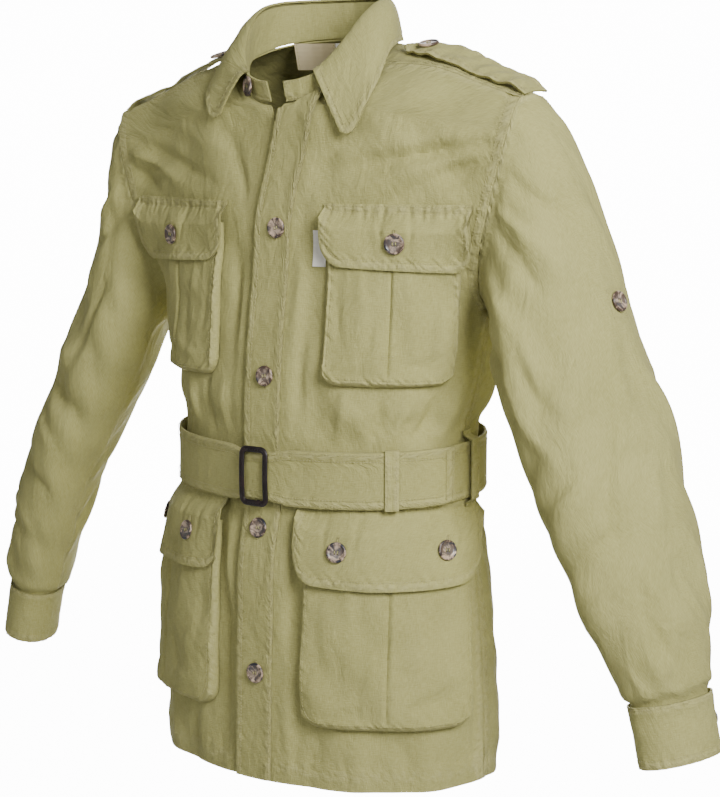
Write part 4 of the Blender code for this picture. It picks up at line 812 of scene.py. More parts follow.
@dataclass
class Pattern:
    """The jacket's cut as it is worn: tables of level curves and ovals, and the surfaces and seams made from them."""

    # Level sections of the trunk: height, half width, front y, back y, side y
    trunk: Rows = (
        (HEM_Z, 0.183, -0.138, 0.110, -0.014),
        (-0.650, 0.182, -0.137, 0.109, -0.014),
        (-0.570, 0.177, -0.135, 0.106, -0.014),
        (-0.505, 0.169, -0.131, 0.101, -0.014),
        (-0.476, 0.1615, -0.1245, 0.095, -0.014),
        (-0.462, 0.159, -0.1215, 0.0925, -0.014),
        (-0.451, 0.159, -0.1215, 0.0925, -0.014),
        (-0.392, 0.159, -0.1210, 0.0925, -0.014),
        (-0.378, 0.159, -0.1210, 0.0925, -0.014),
        (-0.362, 0.1645, -0.1215, 0.097, -0.013),
        (-0.330, 0.172, -0.1190, 0.105, -0.012),
        (ARMPIT_Z, 0.180, -0.1120, 0.111, -0.010),
    )
    # Front above the armpit: centre x, y, z, armhole edge x, y, z, turn of the cloth there in degrees, rise
    front_top: Rows = (
        (0.000, -0.1080, -0.250, 0.1860, -0.034, -0.250, 75, 0.000),
        (0.000, -0.1040, -0.218, 0.1970, -0.054, -0.218, 58, 0.000),
        (0.000, -0.1015, -0.178, 0.2110, -0.064, -0.178, 45, 0.000),
        (0.000, -0.0990, -0.138, 0.2220, -0.065, -0.138, 38, 0.001),
        (0.000, -0.0975, -0.110, 0.2265, -0.0645, -0.122, 36, 0.003),
        (0.000, -0.0970, -0.082, 0.2295, -0.0635, -0.108, 35, 0.007),
        (0.025, -0.0935, -0.0755, 0.2320, -0.0610, -0.096, 33, 0.009),
        (0.047, -0.0820, -0.0640, 0.2345, -0.0570, -0.083, 30, 0.0125),
        (0.068, -0.0570, -0.0420, 0.2360, -0.0500, -0.071, 26, 0.0150),
    )
    # Back above the armpit: centre y, z, armhole edge x, y, z, turn in degrees
    back_top: Rows = (
        (0.1120, -0.250, 0.1890, 0.018, -0.250, 74),
        (0.1115, -0.220, 0.2010, 0.036, -0.220, 58),
        (0.1090, -0.190, 0.2120, 0.043, -0.190, 48),
        (0.1040, -0.162, 0.2200, 0.044, -0.164, 42),
    )
    # Yoke, from the front shoulder seam to the centre back: neck x, y, z, outer x, y, z, angle of the cloth leaving
    # the neck, its fall there, angle of the cloth at the outer edge, its fall there
    yoke_rows: Rows = (
        (0.0680, -0.0570, -0.0416, 0.2360, -0.0500, -0.0706, 0, -0.06, 0, 0.42),
        (0.0735, -0.0400, -0.0310, 0.2405, -0.0300, -0.0680, 0, -0.06, 0, 0.38),
        (0.0735, -0.0240, -0.0260, 0.2410, -0.0080, -0.0740, 8, -0.03, 0, 0.54),
        (0.0690, -0.0070, -0.0210, 0.2370, 0.0160, -0.0960, 20, 0.00, 10, 0.90),
        (0.0610, 0.0060, -0.0175, 0.2300, 0.0330, -0.1270, 34, 0.15, 20, 1.40),
        (0.0500, 0.0165, -0.0150, 0.2200, 0.0440, -0.1620, 46, 0.35, 35, 2.20),
        (0.0360, 0.0250, -0.0135, 0.1500, 0.0780, -0.1610, 60, 0.55, 60, 3.00),
        (0.0190, 0.0300, -0.0125, 0.0750, 0.0980, -0.1602, 76, 0.65, 80, 4.00),
        (0.0000, 0.0315, -0.0120, 0.0000, 0.1040, -0.1600, 90, 0.70, 90, 4.00),
    )
    # Largest folds of a front and of the back: start along the cloth and height, end, half width, height
    front_folds: Rows = (
        (0.190, -0.300, 0.160, -0.385, 0.016, -0.0040),
        (0.215, -0.330, 0.205, -0.385, 0.012, 0.0035),
        (0.060, -0.335, 0.050, -0.385, 0.014, -0.0030),
        (0.095, -0.360, 0.100, -0.385, 0.010, 0.0025),
        (0.044, -0.470, 0.048, -0.700, 0.018, -0.0030),
        (0.230, -0.170, 0.150, -0.120, 0.014, -0.0030),
    )
    back_folds: Rows = (
        (0.060, -0.300, 0.075, -0.385, 0.016, 0.0040),
        (0.120, -0.290, 0.105, -0.385, 0.018, -0.0040),
        (0.190, -0.310, 0.180, -0.385, 0.014, 0.0040),
        (0.040, -0.470, 0.045, -0.715, 0.022, 0.0050),
        (0.130, -0.480, 0.140, -0.715, 0.025, -0.0050),
    )
    front: Surface = field(init=False)
    back: Surface = field(init=False)
    yoke: Surface = field(init=False)

    def __post_init__(self) -> None:
        """Makes the surfaces."""
        rows = [(0, y, z, w, side, z, 90, 0) for z, w, y, _, side in self.trunk] + list(self.front_top)
        self.front = self.panel(rows, 241, self.front_folds)
        rows = [(0, y, z, w, side, z, 90, 0) for z, w, _, y, side in self.trunk]
        rows += [(0, y, z, ex, ey, ez, turn, 0) for y, z, ex, ey, ez, turn in self.back_top]
        self.back = self.panel(rows, 193, self.back_folds)
        self.yoke = self.yoke_surface()

    @staticmethod
    def level_curve(row: Array, count: int) -> Array:
        """One curve of a panel: centre x, y, z, edge x, y, z, turn at the edge in degrees, rise in its middle."""
        centre, edge, turn, rise = row[0:3], row[3:6], math.radians(row[6]), row[7]
        full = 0.60
        run = edge - centre
        lift = np.array([0, 0, rise])
        near = centre + np.array([full * run[0], 0, run[2] / 3]) + lift
        hold = np.array([math.cos(turn) * run[0], math.sin(turn) * run[1], 0]) * full
        far = edge - hold - np.array([0, 0, run[2] / 3]) + lift
        return cubic(centre, near, far, edge, count)

    def panel(self, rows: list, count: int, folds: Rows) -> Surface:
        """A trunk panel from its table and its largest folds."""
        table = np.array(rows, float)
        keys = np.linalg.norm(np.diff(table[:, 3:6], axis=0), axis=1)
        points = np.stack([self.level_curve(row, 97) for row in dense_rows(table, keys, count)])
        axis = points * np.array([0, 0, 1]) + np.array([0, -0.01, 0])
        along = travel(points)
        fade = np.clip((along[:, -1:] - along) / 0.03, 0, 1)
        height = first_folds(folds, along, points[..., 2]) * fade
        return Surface(points + normals_of(points, axis) * height[..., None], axis)

    def yoke_surface(self) -> Surface:
        """Rows go from the left front shoulder seam to the centre back; columns from the neck outwards."""
        table = np.array(self.yoke_rows, float)
        keys = np.linalg.norm(np.diff(table[:, 3:6], axis=0), axis=1)
        curves = []
        for row in dense_rows(table, keys, 121):
            neck, outer = row[0:3], row[3:6]
            reach = np.linalg.norm(outer - neck) * 0.36
            leave, arrive = math.radians(row[6]), math.radians(row[8])
            first = np.array([math.cos(leave), math.sin(leave), -row[7]])
            last = np.array([math.cos(arrive), math.sin(arrive), -row[9]])
            first *= reach / np.linalg.norm(first)
            last *= reach / np.linalg.norm(last)
            curves.append(cubic(neck, neck + first, outer - last, outer, 81))
        points = np.stack(curves)
        seam = spaced(self.front.points[-1], points.shape[1])
        points = points + (seam - points[0]) * ease(1 - np.arange(len(points)) / 28)[:, None, None]
        return Surface(points, points * np.array([1, 0, 0]) * 0.5 + np.array([0, 0, -0.25]))

    def armhole(self, count: int) -> Array:
        """The seam line round the left armhole, from the armpit up the front and down the back."""
        first = np.argmin(abs(self.front.points[:, -1, 2] - ARMPIT_Z))
        corner = np.argmin(np.linalg.norm(self.yoke.points[:, -1] - self.back.points[-1, -1], axis=1))
        last = np.argmin(abs(self.back.points[:, -1, 2] - ARMPIT_Z))
        line = np.concatenate([self.front.points[first:, -1], self.yoke.points[1:corner, -1],
                               self.back.points[last + 1 :, -1][::-1]])
        return spaced(np.concatenate([line, line[:1]]), count + 1)[:-1]

    def neckline(self) -> Array:
        """The edge that the collar is sewn to, from the centre front round to the centre back."""
        edge = self.front.points[self.front.points[:, 0, 0] > 0.0005, 0]
        return np.concatenate([edge[:-1], self.yoke.points[:, 0]])

    def waist_ring(self) -> Array:
        """A closed line round the waist, from the centre front round the wearer's left."""
        level = np.linspace(0, 1, 60)
        _, t = self.front.place(0.0, WAIST_Z)
        _, tb = self.back.place(0.0, WAIST_Z)
        half = np.concatenate([self.front.at(level, t), self.back.at(level[::-1], tb)[1:]])
        ring = np.concatenate([half, Side.RIGHT.turn(half[-2:0:-1])])
        return np.concatenate([ring, ring[:1]])


@dataclass
class Fronts:
    """The two front panels. What is sewn on a front rides on its creases."""

    pattern: Pattern
    placket_width: float = 0.041
    top_shift: float = 0.0275
    first_button_z: float = -0.193
    overlap_gap: float = 0.0011
    rows: int = 200
    columns: int = 92
    # Creases of each front: start along the cloth and height, end, half width, height, bow
    left_creases: Rows = (
        (0.205, -0.083, 0.070, -0.118, 0.008, 0.0016, 0.004),
        (0.215, -0.092, 0.055, -0.142, 0.010, -0.0026, 0.005),
        (0.222, -0.104, 0.075, -0.160, 0.009, 0.0020, 0.004),
        (0.222, -0.118, 0.110, -0.170, 0.009, -0.0020, 0.004),
        (0.224, -0.140, 0.165, -0.166, 0.008, 0.0014, 0.002),
        (0.090, -0.085, 0.040, -0.160, 0.010, -0.0014, -0.003),
        (0.215, -0.200, 0.205, -0.300, 0.008, -0.0026, 0.003),
        (0.232, -0.240, 0.216, -0.330, 0.007, 0.0022, -0.003),
        (0.238, -0.300, 0.200, -0.385, 0.008, -0.0030, 0.004),
        (0.246, -0.325, 0.222, -0.388, 0.006, 0.0028, 0.002),
        (0.200, -0.345, 0.176, -0.388, 0.007, 0.0026, 0.003),
        (0.178, -0.350, 0.152, -0.386, 0.006, -0.0022, 0.002),
        (0.150, -0.352, 0.130, -0.388, 0.007, 0.0022, -0.002),
        (0.120, -0.350, 0.112, -0.388, 0.006, -0.0020, 0.002),
        (0.085, -0.345, 0.078, -0.388, 0.008, 0.0022, 0.002),
        (0.045, -0.240, 0.038, -0.380, 0.008, -0.0022, -0.003),
        (0.030, -0.200, 0.030, -0.300, 0.006, 0.0010, 0.002),
        (0.040, -0.470, 0.036, -0.600, 0.007, -0.0020, 0.003),
        (0.034, -0.600, 0.040, -0.722, 0.008, 0.0020, -0.003),
        (0.245, -0.460, 0.235, -0.600, 0.010, -0.0026, 0.004),
        (0.262, -0.500, 0.255, -0.700, 0.009, 0.0022, -0.004),
        (0.232, -0.600, 0.238, -0.724, 0.010, -0.0026, 0.003),
        (0.110, -0.668, 0.105, -0.724, 0.012, 0.0020, 0.002),
        (0.150, -0.668, 0.158, -0.724, 0.011, -0.0022, 0.002),
        (0.070, -0.665, 0.064, -0.724, 0.010, -0.0016, 0.001),
    )
    right_creases: Rows = (
        (0.200, -0.085, 0.085, -0.150, 0.009, -0.0024, 0.006),
        (0.215, -0.100, 0.110, -0.165, 0.009, 0.0022, 0.005),
        (0.150, -0.070, 0.060, -0.120, 0.009, 0.0018, 0.004),
        (0.070, -0.095, 0.036, -0.165, 0.008, -0.0018, -0.003),
        (0.222, -0.130, 0.160, -0.168, 0.008, -0.0018, 0.003),
        (0.046, -0.215, 0.040, -0.330, 0.007, -0.0024, -0.003),
        (0.034, -0.250, 0.030, -0.385, 0.006, 0.0016, 0.002),
        (0.212, -0.190, 0.204, -0.300, 0.008, -0.0026, 0.004),
        (0.230, -0.250, 0.205, -0.345, 0.008, 0.0024, -0.003),
        (0.190, -0.342, 0.168, -0.388, 0.006, -0.0028, 0.003),
        (0.165, -0.345, 0.150, -0.388, 0.006, 0.0026, 0.002),
        (0.138, -0.348, 0.126, -0.388, 0.006, -0.0022, 0.002),
        (0.108, -0.345, 0.098, -0.388, 0.007, 0.0026, -0.002),
        (0.080, -0.342, 0.070, -0.388, 0.006, -0.0022, 0.002),
        (0.054, -0.340, 0.050, -0.388, 0.007, 0.0020, 0.002),
        (0.040, -0.465, 0.030, -0.560, 0.007, 0.0018, 0.003),
        (0.044, -0.540, 0.040, -0.700, 0.008, -0.0022, -0.003),
        (0.240, -0.470, 0.238, -0.620, 0.010, 0.0026, 0.004),
        (0.228, -0.580, 0.236, -0.724, 0.010, -0.0024, 0.004),
        (0.130, -0.668, 0.120, -0.724, 0.012, 0.0022, 0.002),
        (0.085, -0.668, 0.088, -0.724, 0.010, -0.0020, 0.002),
    )
    # Places of the buttons on a front, which keep their height: along the cloth and height
    buttons: Rows = ((0.131, -0.2035), (0.087, -0.4955), (0.182, -0.4955))

    @property
    def surface(self) -> Surface:
        """The left front's surface."""
        return self.pattern.front

    def relief(self, side: Side, along: Array, z: Array) -> Array:
        """Height of a front's creases: none at its seams, under the belt and at the buttons."""
        along, z = np.broadcast_arrays(np.asarray(along, float), np.asarray(z, float))
        rows = self.left_creases if side is Side.LEFT else self.right_creases
        own = 1.9 * creased(rows, along, z) + rumpled(along, z, 11 + side.value, 0.060, 0.0015)
        length = np.interp(z, self.surface.points[:, 0, 2], self.surface.lengths)
        own = own * ease((length - along) / 0.022) * ease((along - 0.022) / 0.018)
        own = own * (1 - ease(1 - abs(z - WAIST_Z + 0.003) / 0.044) * 0.92)
        own = own * ease((-0.0440 - z) / 0.02)
        for place, height in self.buttons:
            own = own * (1 - np.exp(-(np.hypot(along - place, z - height) / 0.016) ** 2))
        middle = 0.0006 * np.sin(z / 0.024) * np.sin(z / 0.061 + 1) * (1 - ease((along - 0.020) / 0.03))
        return own + middle * ease((-0.12 - z) / 0.04)

    def at(self, side: Side, s: Array, t: Array, lift: Array | float = 0.0) -> tuple[Array, Array]:
        """Points and normals on a front, over its creases; past the centre line they are the other side's mirrored.

        Args:
            side: which front.
            s: fraction from the centre line to the side, negative past the centre line.
            t: fraction from the hem to the shoulder seam.
            lift: height over the panel.

        Returns:
            Points and unit normals on that side of the jacket.
        """
        s, t = np.broadcast_arrays(np.asarray(s, float), np.asarray(t, float))
        along, z = self.surface.spot(abs(s), t)
        points = self.surface.at(abs(s), t, np.asarray(lift) + self.relief(side, along, z))
        normal = self.surface.normal(abs(s), t)
        sign = np.where(s < 0, -1, 1)
        points[..., 0] *= sign
        normal[..., 0] *= sign
        return side.turn(points), side.turn(normal)

    def on(self, side: Side, along: Array, z: Array, lift: Array | float = 0.0) -> tuple[Array, Array]:
        """Points and normals at distances along the cloth and heights."""
        s, t = self.surface.place(along, z)
        return self.at(side, s, t, lift)

    def shift(self, z: Array) -> Array:
        """How far the front edges fall aside above the first button, where the collar is open."""
        return self.top_shift * np.clip((np.asarray(z) - self.first_button_z) / 0.115, 0, 1.05) ** 1.3

    def overlap(self, across: Array) -> Array:
        """How far the left front is raised near its edge, where it laps over the right one."""
        over = np.clip(1 - (across - self.placket_width / 2 - 0.008) / 0.03, 0, 1)
        return (CLOTH + self.overlap_gap) * over

    def build(self, wardrobe: Wardrobe, stitching: Stitching) -> None:
        """Builds both panels with their seams."""
        front = self.surface
        t = np.linspace(0, 1, self.rows)
        centre = front.at(np.zeros_like(t), t)
        _, level = front.spot(0.0, t)
        length = np.interp(t, front.fractions, front.lengths)
        for side in Side:
            edge = self.shift(level) - self.placket_width / 2 + (0.001 if side is Side.RIGHT else 0)
            start = np.where(centre[:, 0] > edge, 0, (edge - centre[:, 0]) / length)[:, None]
            s = start + (1 - start) * np.linspace(0, 1, self.columns)[None, :]
            grid = np.repeat(t[:, None], self.columns, axis=1)
            lift = 0.0
            if side is Side.LEFT:
                lift = self.overlap(front.at(abs(s), grid)[..., 0] * np.sign(s))
            along, z = front.spot(s, grid)
            to_side = length[:, None] - along
            height = np.where(level[:, None] > ARMPIT_Z, pucker(to_side - 0.0085, z, 31, 0.0007, 0.006), 0)
            height = height + pucker(z - HEM_Z - 0.026, along, 32, 0.0005, 0.009)
            points, normal = self.at(side, s, grid, lift + height)
            seam = closeness(to_side - 0.005, 0.007) + 0.8 * closeness(z - HEM_Z - 0.015, 0.011)
            seam = np.clip(seam + closeness((t[:, None] - 1) * 0.7), 0, 1)
            obj = cloth_wall(f"{side.word}_front_twill", points, normal, CLOTH, wardrobe.twill, seam)
            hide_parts(f"{side.word}_front")
            self.stitch(side, stitching)
            log.info("%s front panel: %d faces", side.word, len(obj.data.polygons))

    def stitch(self, side: Side, stitching: Stitching) -> None:
        """Rows along the hem and the armhole; the shoulder seam's rows are on the yoke."""
        group = f"{side.word}_front_stitching"
        front = self.surface
        along = np.linspace(0.024, front.lengths[0] - 0.004, 160)
        for z in (HEM_Z + 0.026,):
            stitching.row(group, *self.on(side, along, z + 0 * along, 0.0001 + pucker(0 * along, along, 32)))
        t = np.linspace(0, 1, 260)
        length = np.interp(t, front.fractions, front.lengths)
        _, level = front.spot(0.0, t)
        arm = level > ARMPIT_Z + 0.006
        for inset in (0.0015, 0.0085):
            s = 1 - inset / length[arm]
            stitching.row(group, *self.at(side, s, t[arm], 0.0002))


@dataclass
class Placket:
    """The buttonhole band down the left front's free edge, with the four front buttons' buttonholes."""

    fronts: Fronts
    slant_from: float = -0.120
    rows: int = 250
    columns: int = 22
    buttons: Rows = ((-0.193, 0.30), (-0.333, 0.20), (-0.480, 0.0), (-0.619, 0.18))

    @property
    def lift(self) -> float:
        """Height over the panel."""
        return 2 * CLOTH + self.fronts.overlap_gap + 0.0008

    def at(self, heights: Array, columns: Array, lift: Array | float = 0.0) -> tuple[Array, Array]:
        """Points and normals of the band's face.

        Args:
            heights: heights of its rows.
            columns: places across it, from -1 at the free edge to 1.
            lift: height over the band.

        Returns:
            Points and unit normals.
        """
        fronts, front = self.fronts, self.fronts.surface
        half = fronts.placket_width / 2
        heights, columns = np.broadcast_arrays(np.asarray(heights, float), np.asarray(columns, float))
        neck = front.points[front.points[:, 0, 0] > 0.0005, 0]
        neck_x = np.concatenate([[0], neck[:, 0]])
        neck_z = np.concatenate([[-0.082], neck[:, 2]])
        share = np.clip((heights - self.slant_from) / (NECK_Z - self.slant_from), 0, 1)
        z = heights.copy()
        for _ in range(4):
            x = fronts.shift(z) + half * columns
            top = np.interp(x, neck_x, neck_z) - 0.0030
            z = np.where(share > 0, self.slant_from + (top - self.slant_from) * share, heights)
        s, t = front.find(abs(x), z)
        rise = 0.0034 * np.clip((z + 0.13) / 0.05, 0, 1)
        return fronts.at(Side.LEFT, np.where(x < 0, -s, s), t, self.lift + rise + lift)

    def build(self, wardrobe: Wardrobe, stitching: Stitching) -> None:
        """Builds the band, its rows of stitching and the buttonholes."""
        heights = np.linspace(HEM_Z + 0.0005, NECK_Z, self.rows)[:, None]
        across = np.linspace(-1, 1, self.columns)[None, :]
        half = self.fronts.placket_width / 2
        from_edge = (1 + across) * half
        from_seam = (1 - across) * half
        height = pucker(from_edge - 0.006, heights, 41, 0.0004) + pucker(from_seam - 0.002, heights, 42, 0.0006)
        height = height + rumpled(across * half, heights, 43, 0.030, 0.00025)
        height = height - 0.0006 * ease(1 - from_seam / 0.0012)
        points, normal = self.at(heights, across, height)
        seam = np.clip(closeness(from_edge - 0.003) + closeness(from_seam - 0.002), 0, 1) + 0 * heights
        obj = cloth_wall("placket_twill", points, normal, CLOTH, wardrobe.twill, seam)
        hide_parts("placket")
        level = np.linspace(HEM_Z + 0.003, NECK_Z, 420)
        for place in (-1 + 0.0060 / half, 1 - 0.0020 / half):
            stitching.row("placket_stitching", *self.at(level, place + 0 * level, 0.0002))
        for z, place in self.buttons:
            centre, facing = self.at(np.array([z]), np.array([place]), 0.0004)
            above, _ = self.at(np.array([z + 0.01]), np.array([place]), 0.0004)
            up = above[0] - centre[0]
            stitching.buttonhole("front_buttonholes", centre[0], up / np.linalg.norm(up), facing[0])
        log.info("placket: %d faces", len(obj.data.polygons))


@dataclass
class Back:
    """The back panel, felled over the fronts at its sides, below the yoke."""

    pattern: Pattern
    rows: int = 152
    columns: int = 130
    # Creases: start along the cloth from the centre, wearer's left positive, and height, end, half width, height, bow
    creases: Rows = (
        (0.030, -0.300, 0.050, -0.385, 0.010, -0.0030, 0.004),
        (-0.060, -0.290, -0.045, -0.386, 0.010, 0.0032, 0.003),
        (-0.105, -0.310, -0.095, -0.387, 0.009, -0.0030, -0.003),
        (0.110, -0.305, 0.100, -0.387, 0.009, 0.0030, 0.003),
        (0.155, -0.300, 0.150, -0.388, 0.009, -0.0028, 0.004),
        (-0.150, -0.300, -0.160, -0.388, 0.008, 0.0028, 0.003),
        (-0.200, -0.290, -0.195, -0.386, 0.009, -0.0028, 0.003),
        (-0.010, -0.330, -0.005, -0.388, 0.008, 0.0024, 0.002),
        (0.200, -0.230, 0.100, -0.330, 0.012, 0.0026, 0.006),
        (0.190, -0.270, 0.120, -0.350, 0.010, -0.0026, 0.006),
        (-0.200, -0.240, -0.090, -0.330, 0.012, -0.0026, -0.006),
        (-0.195, -0.200, -0.080, -0.250, 0.012, 0.0024, -0.006),
        (0.180, -0.190, 0.070, -0.230, 0.012, -0.0022, 0.005),
        (0.000, -0.170, 0.010, -0.280, 0.012, 0.0018, 0.004),
        (0.010, -0.455, 0.020, -0.600, 0.012, -0.0028, 0.004),
        (-0.050, -0.455, -0.060, -0.700, 0.013, 0.0030, 0.005),
        (-0.110, -0.460, -0.115, -0.640, 0.012, -0.0028, 0.004),
        (0.080, -0.460, 0.090, -0.660, 0.012, 0.0030, -0.004),
        (0.160, -0.460, 0.150, -0.722, 0.013, -0.0026, 0.004),
        (-0.180, -0.470, -0.170, -0.722, 0.012, 0.0028, 0.004),
        (0.210, -0.470, 0.222, -0.720, 0.011, 0.0024, 0.003),
    )

    def relief(self, along: Array, z: Array) -> Array:
        """Height of the back's creases at signed distances from its centre."""
        length = np.interp(z, self.pattern.back.points[:, 0, 2], self.pattern.back.lengths)
        own = creased(self.creases, along, z) + rumpled(along, z, 21, 0.065, 0.0016)
        own = own * ease((length - abs(along)) / 0.022)
        own = own * (1 - ease(1 - abs(z - WAIST_Z + 0.003) / 0.046) * 0.94)
        return own * ease((-0.158 - z) / 0.02)

    def at(self, place: Array, t: Array, lift: Array | float = 0.0) -> tuple[Array, Array]:
        """Points and normals at signed fractions of the half width, and fractions up the panel."""
        back = self.pattern.back
        place, t = np.broadcast_arrays(np.asarray(place, float), np.asarray(t, float))
        along, z = back.spot(abs(place), t)
        points = back.at(abs(place), t, np.asarray(lift) + self.relief(along * np.sign(place), z))
        normal = back.normal(abs(place), t)
        points[..., 1] += 0.75 * SEAM_GAP * ease((abs(place) - 0.97) / 0.03)
        sign = np.where(place < 0, -1, 1)
        points[..., 0] *= sign
        normal[..., 0] *= sign
        return points, normal

    def build(self, wardrobe: Wardrobe, stitching: Stitching) -> None:
        """Builds the panel and its rows of stitching."""
        t = np.linspace(0, 1, self.rows)[:, None]
        place = np.linspace(-1, 1, self.columns)[None, :]
        along, z = self.pattern.back.spot(abs(place), t)
        length = np.interp(z, self.pattern.back.points[:, 0, 2], self.pattern.back.lengths)
        to_side = length - abs(along)
        height = pucker(to_side - 0.0085, z, 51, 0.0006, 0.006) + pucker(z - HEM_Z - 0.026, along, 52, 0.0005, 0.009)
        points, normal = self.at(place, t, height)
        points[-1, :, 2] -= SEAM_GAP
        seam = np.clip(closeness(to_side - 0.005, 0.007) + 0.8 * closeness(z - HEM_Z - 0.015, 0.011), 0, 1)
        obj = cloth_wall("back_twill", points, normal, CLOTH, wardrobe.twill, seam)
        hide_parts("back")
        level = np.linspace(0.001, 0.999, 300)
        length = np.interp(level, self.pattern.back.fractions, self.pattern.back.lengths)
        for sign in (-1, 1):
            for inset in (0.0018, 0.0085):
                stitching.row("back_stitching", *self.at(sign * (1 - inset / length), level, 0.0002))
        across = np.linspace(-0.99, 0.99, 320)
        t_hem = np.interp(HEM_Z + 0.026, self.pattern.back.points[:, 0, 2], self.pattern.back.fractions)
        stitching.row("back_stitching", *self.at(across, t_hem + 0 * across, 0.0001))
        log.info("back panel: %d faces", len(obj.data.polygons))


@dataclass
class Yoke:
    """The shoulder yoke, one piece from the left front seam round the neck to the right one."""

    pattern: Pattern
    rows: int = 64
    columns: int = 60
    # Creases: distance from the front seam round the outer edge and from the neck, end, half width, height, bow
    creases: Rows = (
        (0.020, 0.030, 0.030, 0.130, 0.009, -0.0014, 0.003),
        (0.090, 0.050, 0.060, 0.150, 0.010, 0.0016, 0.003),
        (0.160, 0.030, 0.170, 0.120, 0.012, -0.0018, 0.004),
        (0.240, 0.040, 0.260, 0.120, 0.012, 0.0018, 0.004),
    )

    def at(self, s: Array, t: Array, lift: Array | float = 0.0, side: Side = Side.LEFT) -> tuple[Array, Array]:
        """Points and normals at fractions outwards from the neck and from the front seam to the centre back."""
        yoke = self.pattern.yoke
        s, t = np.broadcast_arrays(np.asarray(s, float), np.asarray(t, float))
        out = s * np.interp(t, yoke.fractions, yoke.lengths)
        run = t * 0.42
        edges = ease(np.minimum(s, 1 - s) / 0.15) * ease(t / 0.05)
        height = 1.3 * creased(self.creases, run + (0 if side is Side.LEFT else 0.02), out) * edges
        height = height + rumpled(run, out, 61 + side.value, 0.05, 0.0006) * edges * (1 - ease((t - 0.85) / 0.15))
        points = yoke.at(s, t, height + np.asarray(lift))
        return side.turn(points), side.turn(yoke.normal(s, t))

    def build(self, wardrobe: Wardrobe, stitching: Stitching) -> None:
        """Builds the yoke and its rows of stitching."""
        t = np.linspace(0, 1, self.rows)[:, None]
        s = np.linspace(0, 1, self.columns)[None, :]
        lengths = np.interp(t, self.pattern.yoke.fractions, self.pattern.yoke.lengths)
        outer = (1 - s) * lengths
        height = pucker(t * 0.42 - 0.006, s * lengths, 71, 0.0005) + pucker(outer - 0.006, t * 0.42, 72, 0.0005, 0.006)
        left, left_normal = self.at(s, t, height)
        right, right_normal = self.at(s, t, height, Side.RIGHT)
        for half in (left, right):
            half[..., 1] += 0.9 * SEAM_GAP * ease(1 - t / 0.03)
        points = np.concatenate([left, right[-2::-1]])
        normal = np.concatenate([left_normal, right_normal[-2::-1]])
        seam = np.clip(closeness(outer - 0.005, 0.007) + closeness(t * 0.42 - 0.004), 0, 1) + 0 * s
        obj = cloth_wall("yoke_twill", points, normal, CLOTH, wardrobe.twill, np.concatenate([seam, seam[-2::-1]]))
        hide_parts("yoke")
        along = np.linspace(0.01, 0.995, 120)
        for side in Side:
            for back_by in (0.004, 0.019):
                stitching.row("yoke_stitching", *self.at(along, back_by + 0 * along, 0.0002, side))
            level = np.linspace(0.01, 0.62, 100)
            wide = np.interp(level, self.pattern.yoke.fractions, self.pattern.yoke.lengths)
            stitching.row("yoke_stitching", *self.at(1 - 0.0085 / wide, level, 0.0002, side))
            level = np.linspace(0.63, 0.999, 110)
            wide = np.interp(level, self.pattern.yoke.fractions, self.pattern.yoke.lengths)
            for inset in (0.0020, 0.0085):
                stitching.row("yoke_stitching", *self.at(1 - inset / wide, level, 0.0002, side))
        log.info("yoke: %d faces", len(obj.data.polygons))


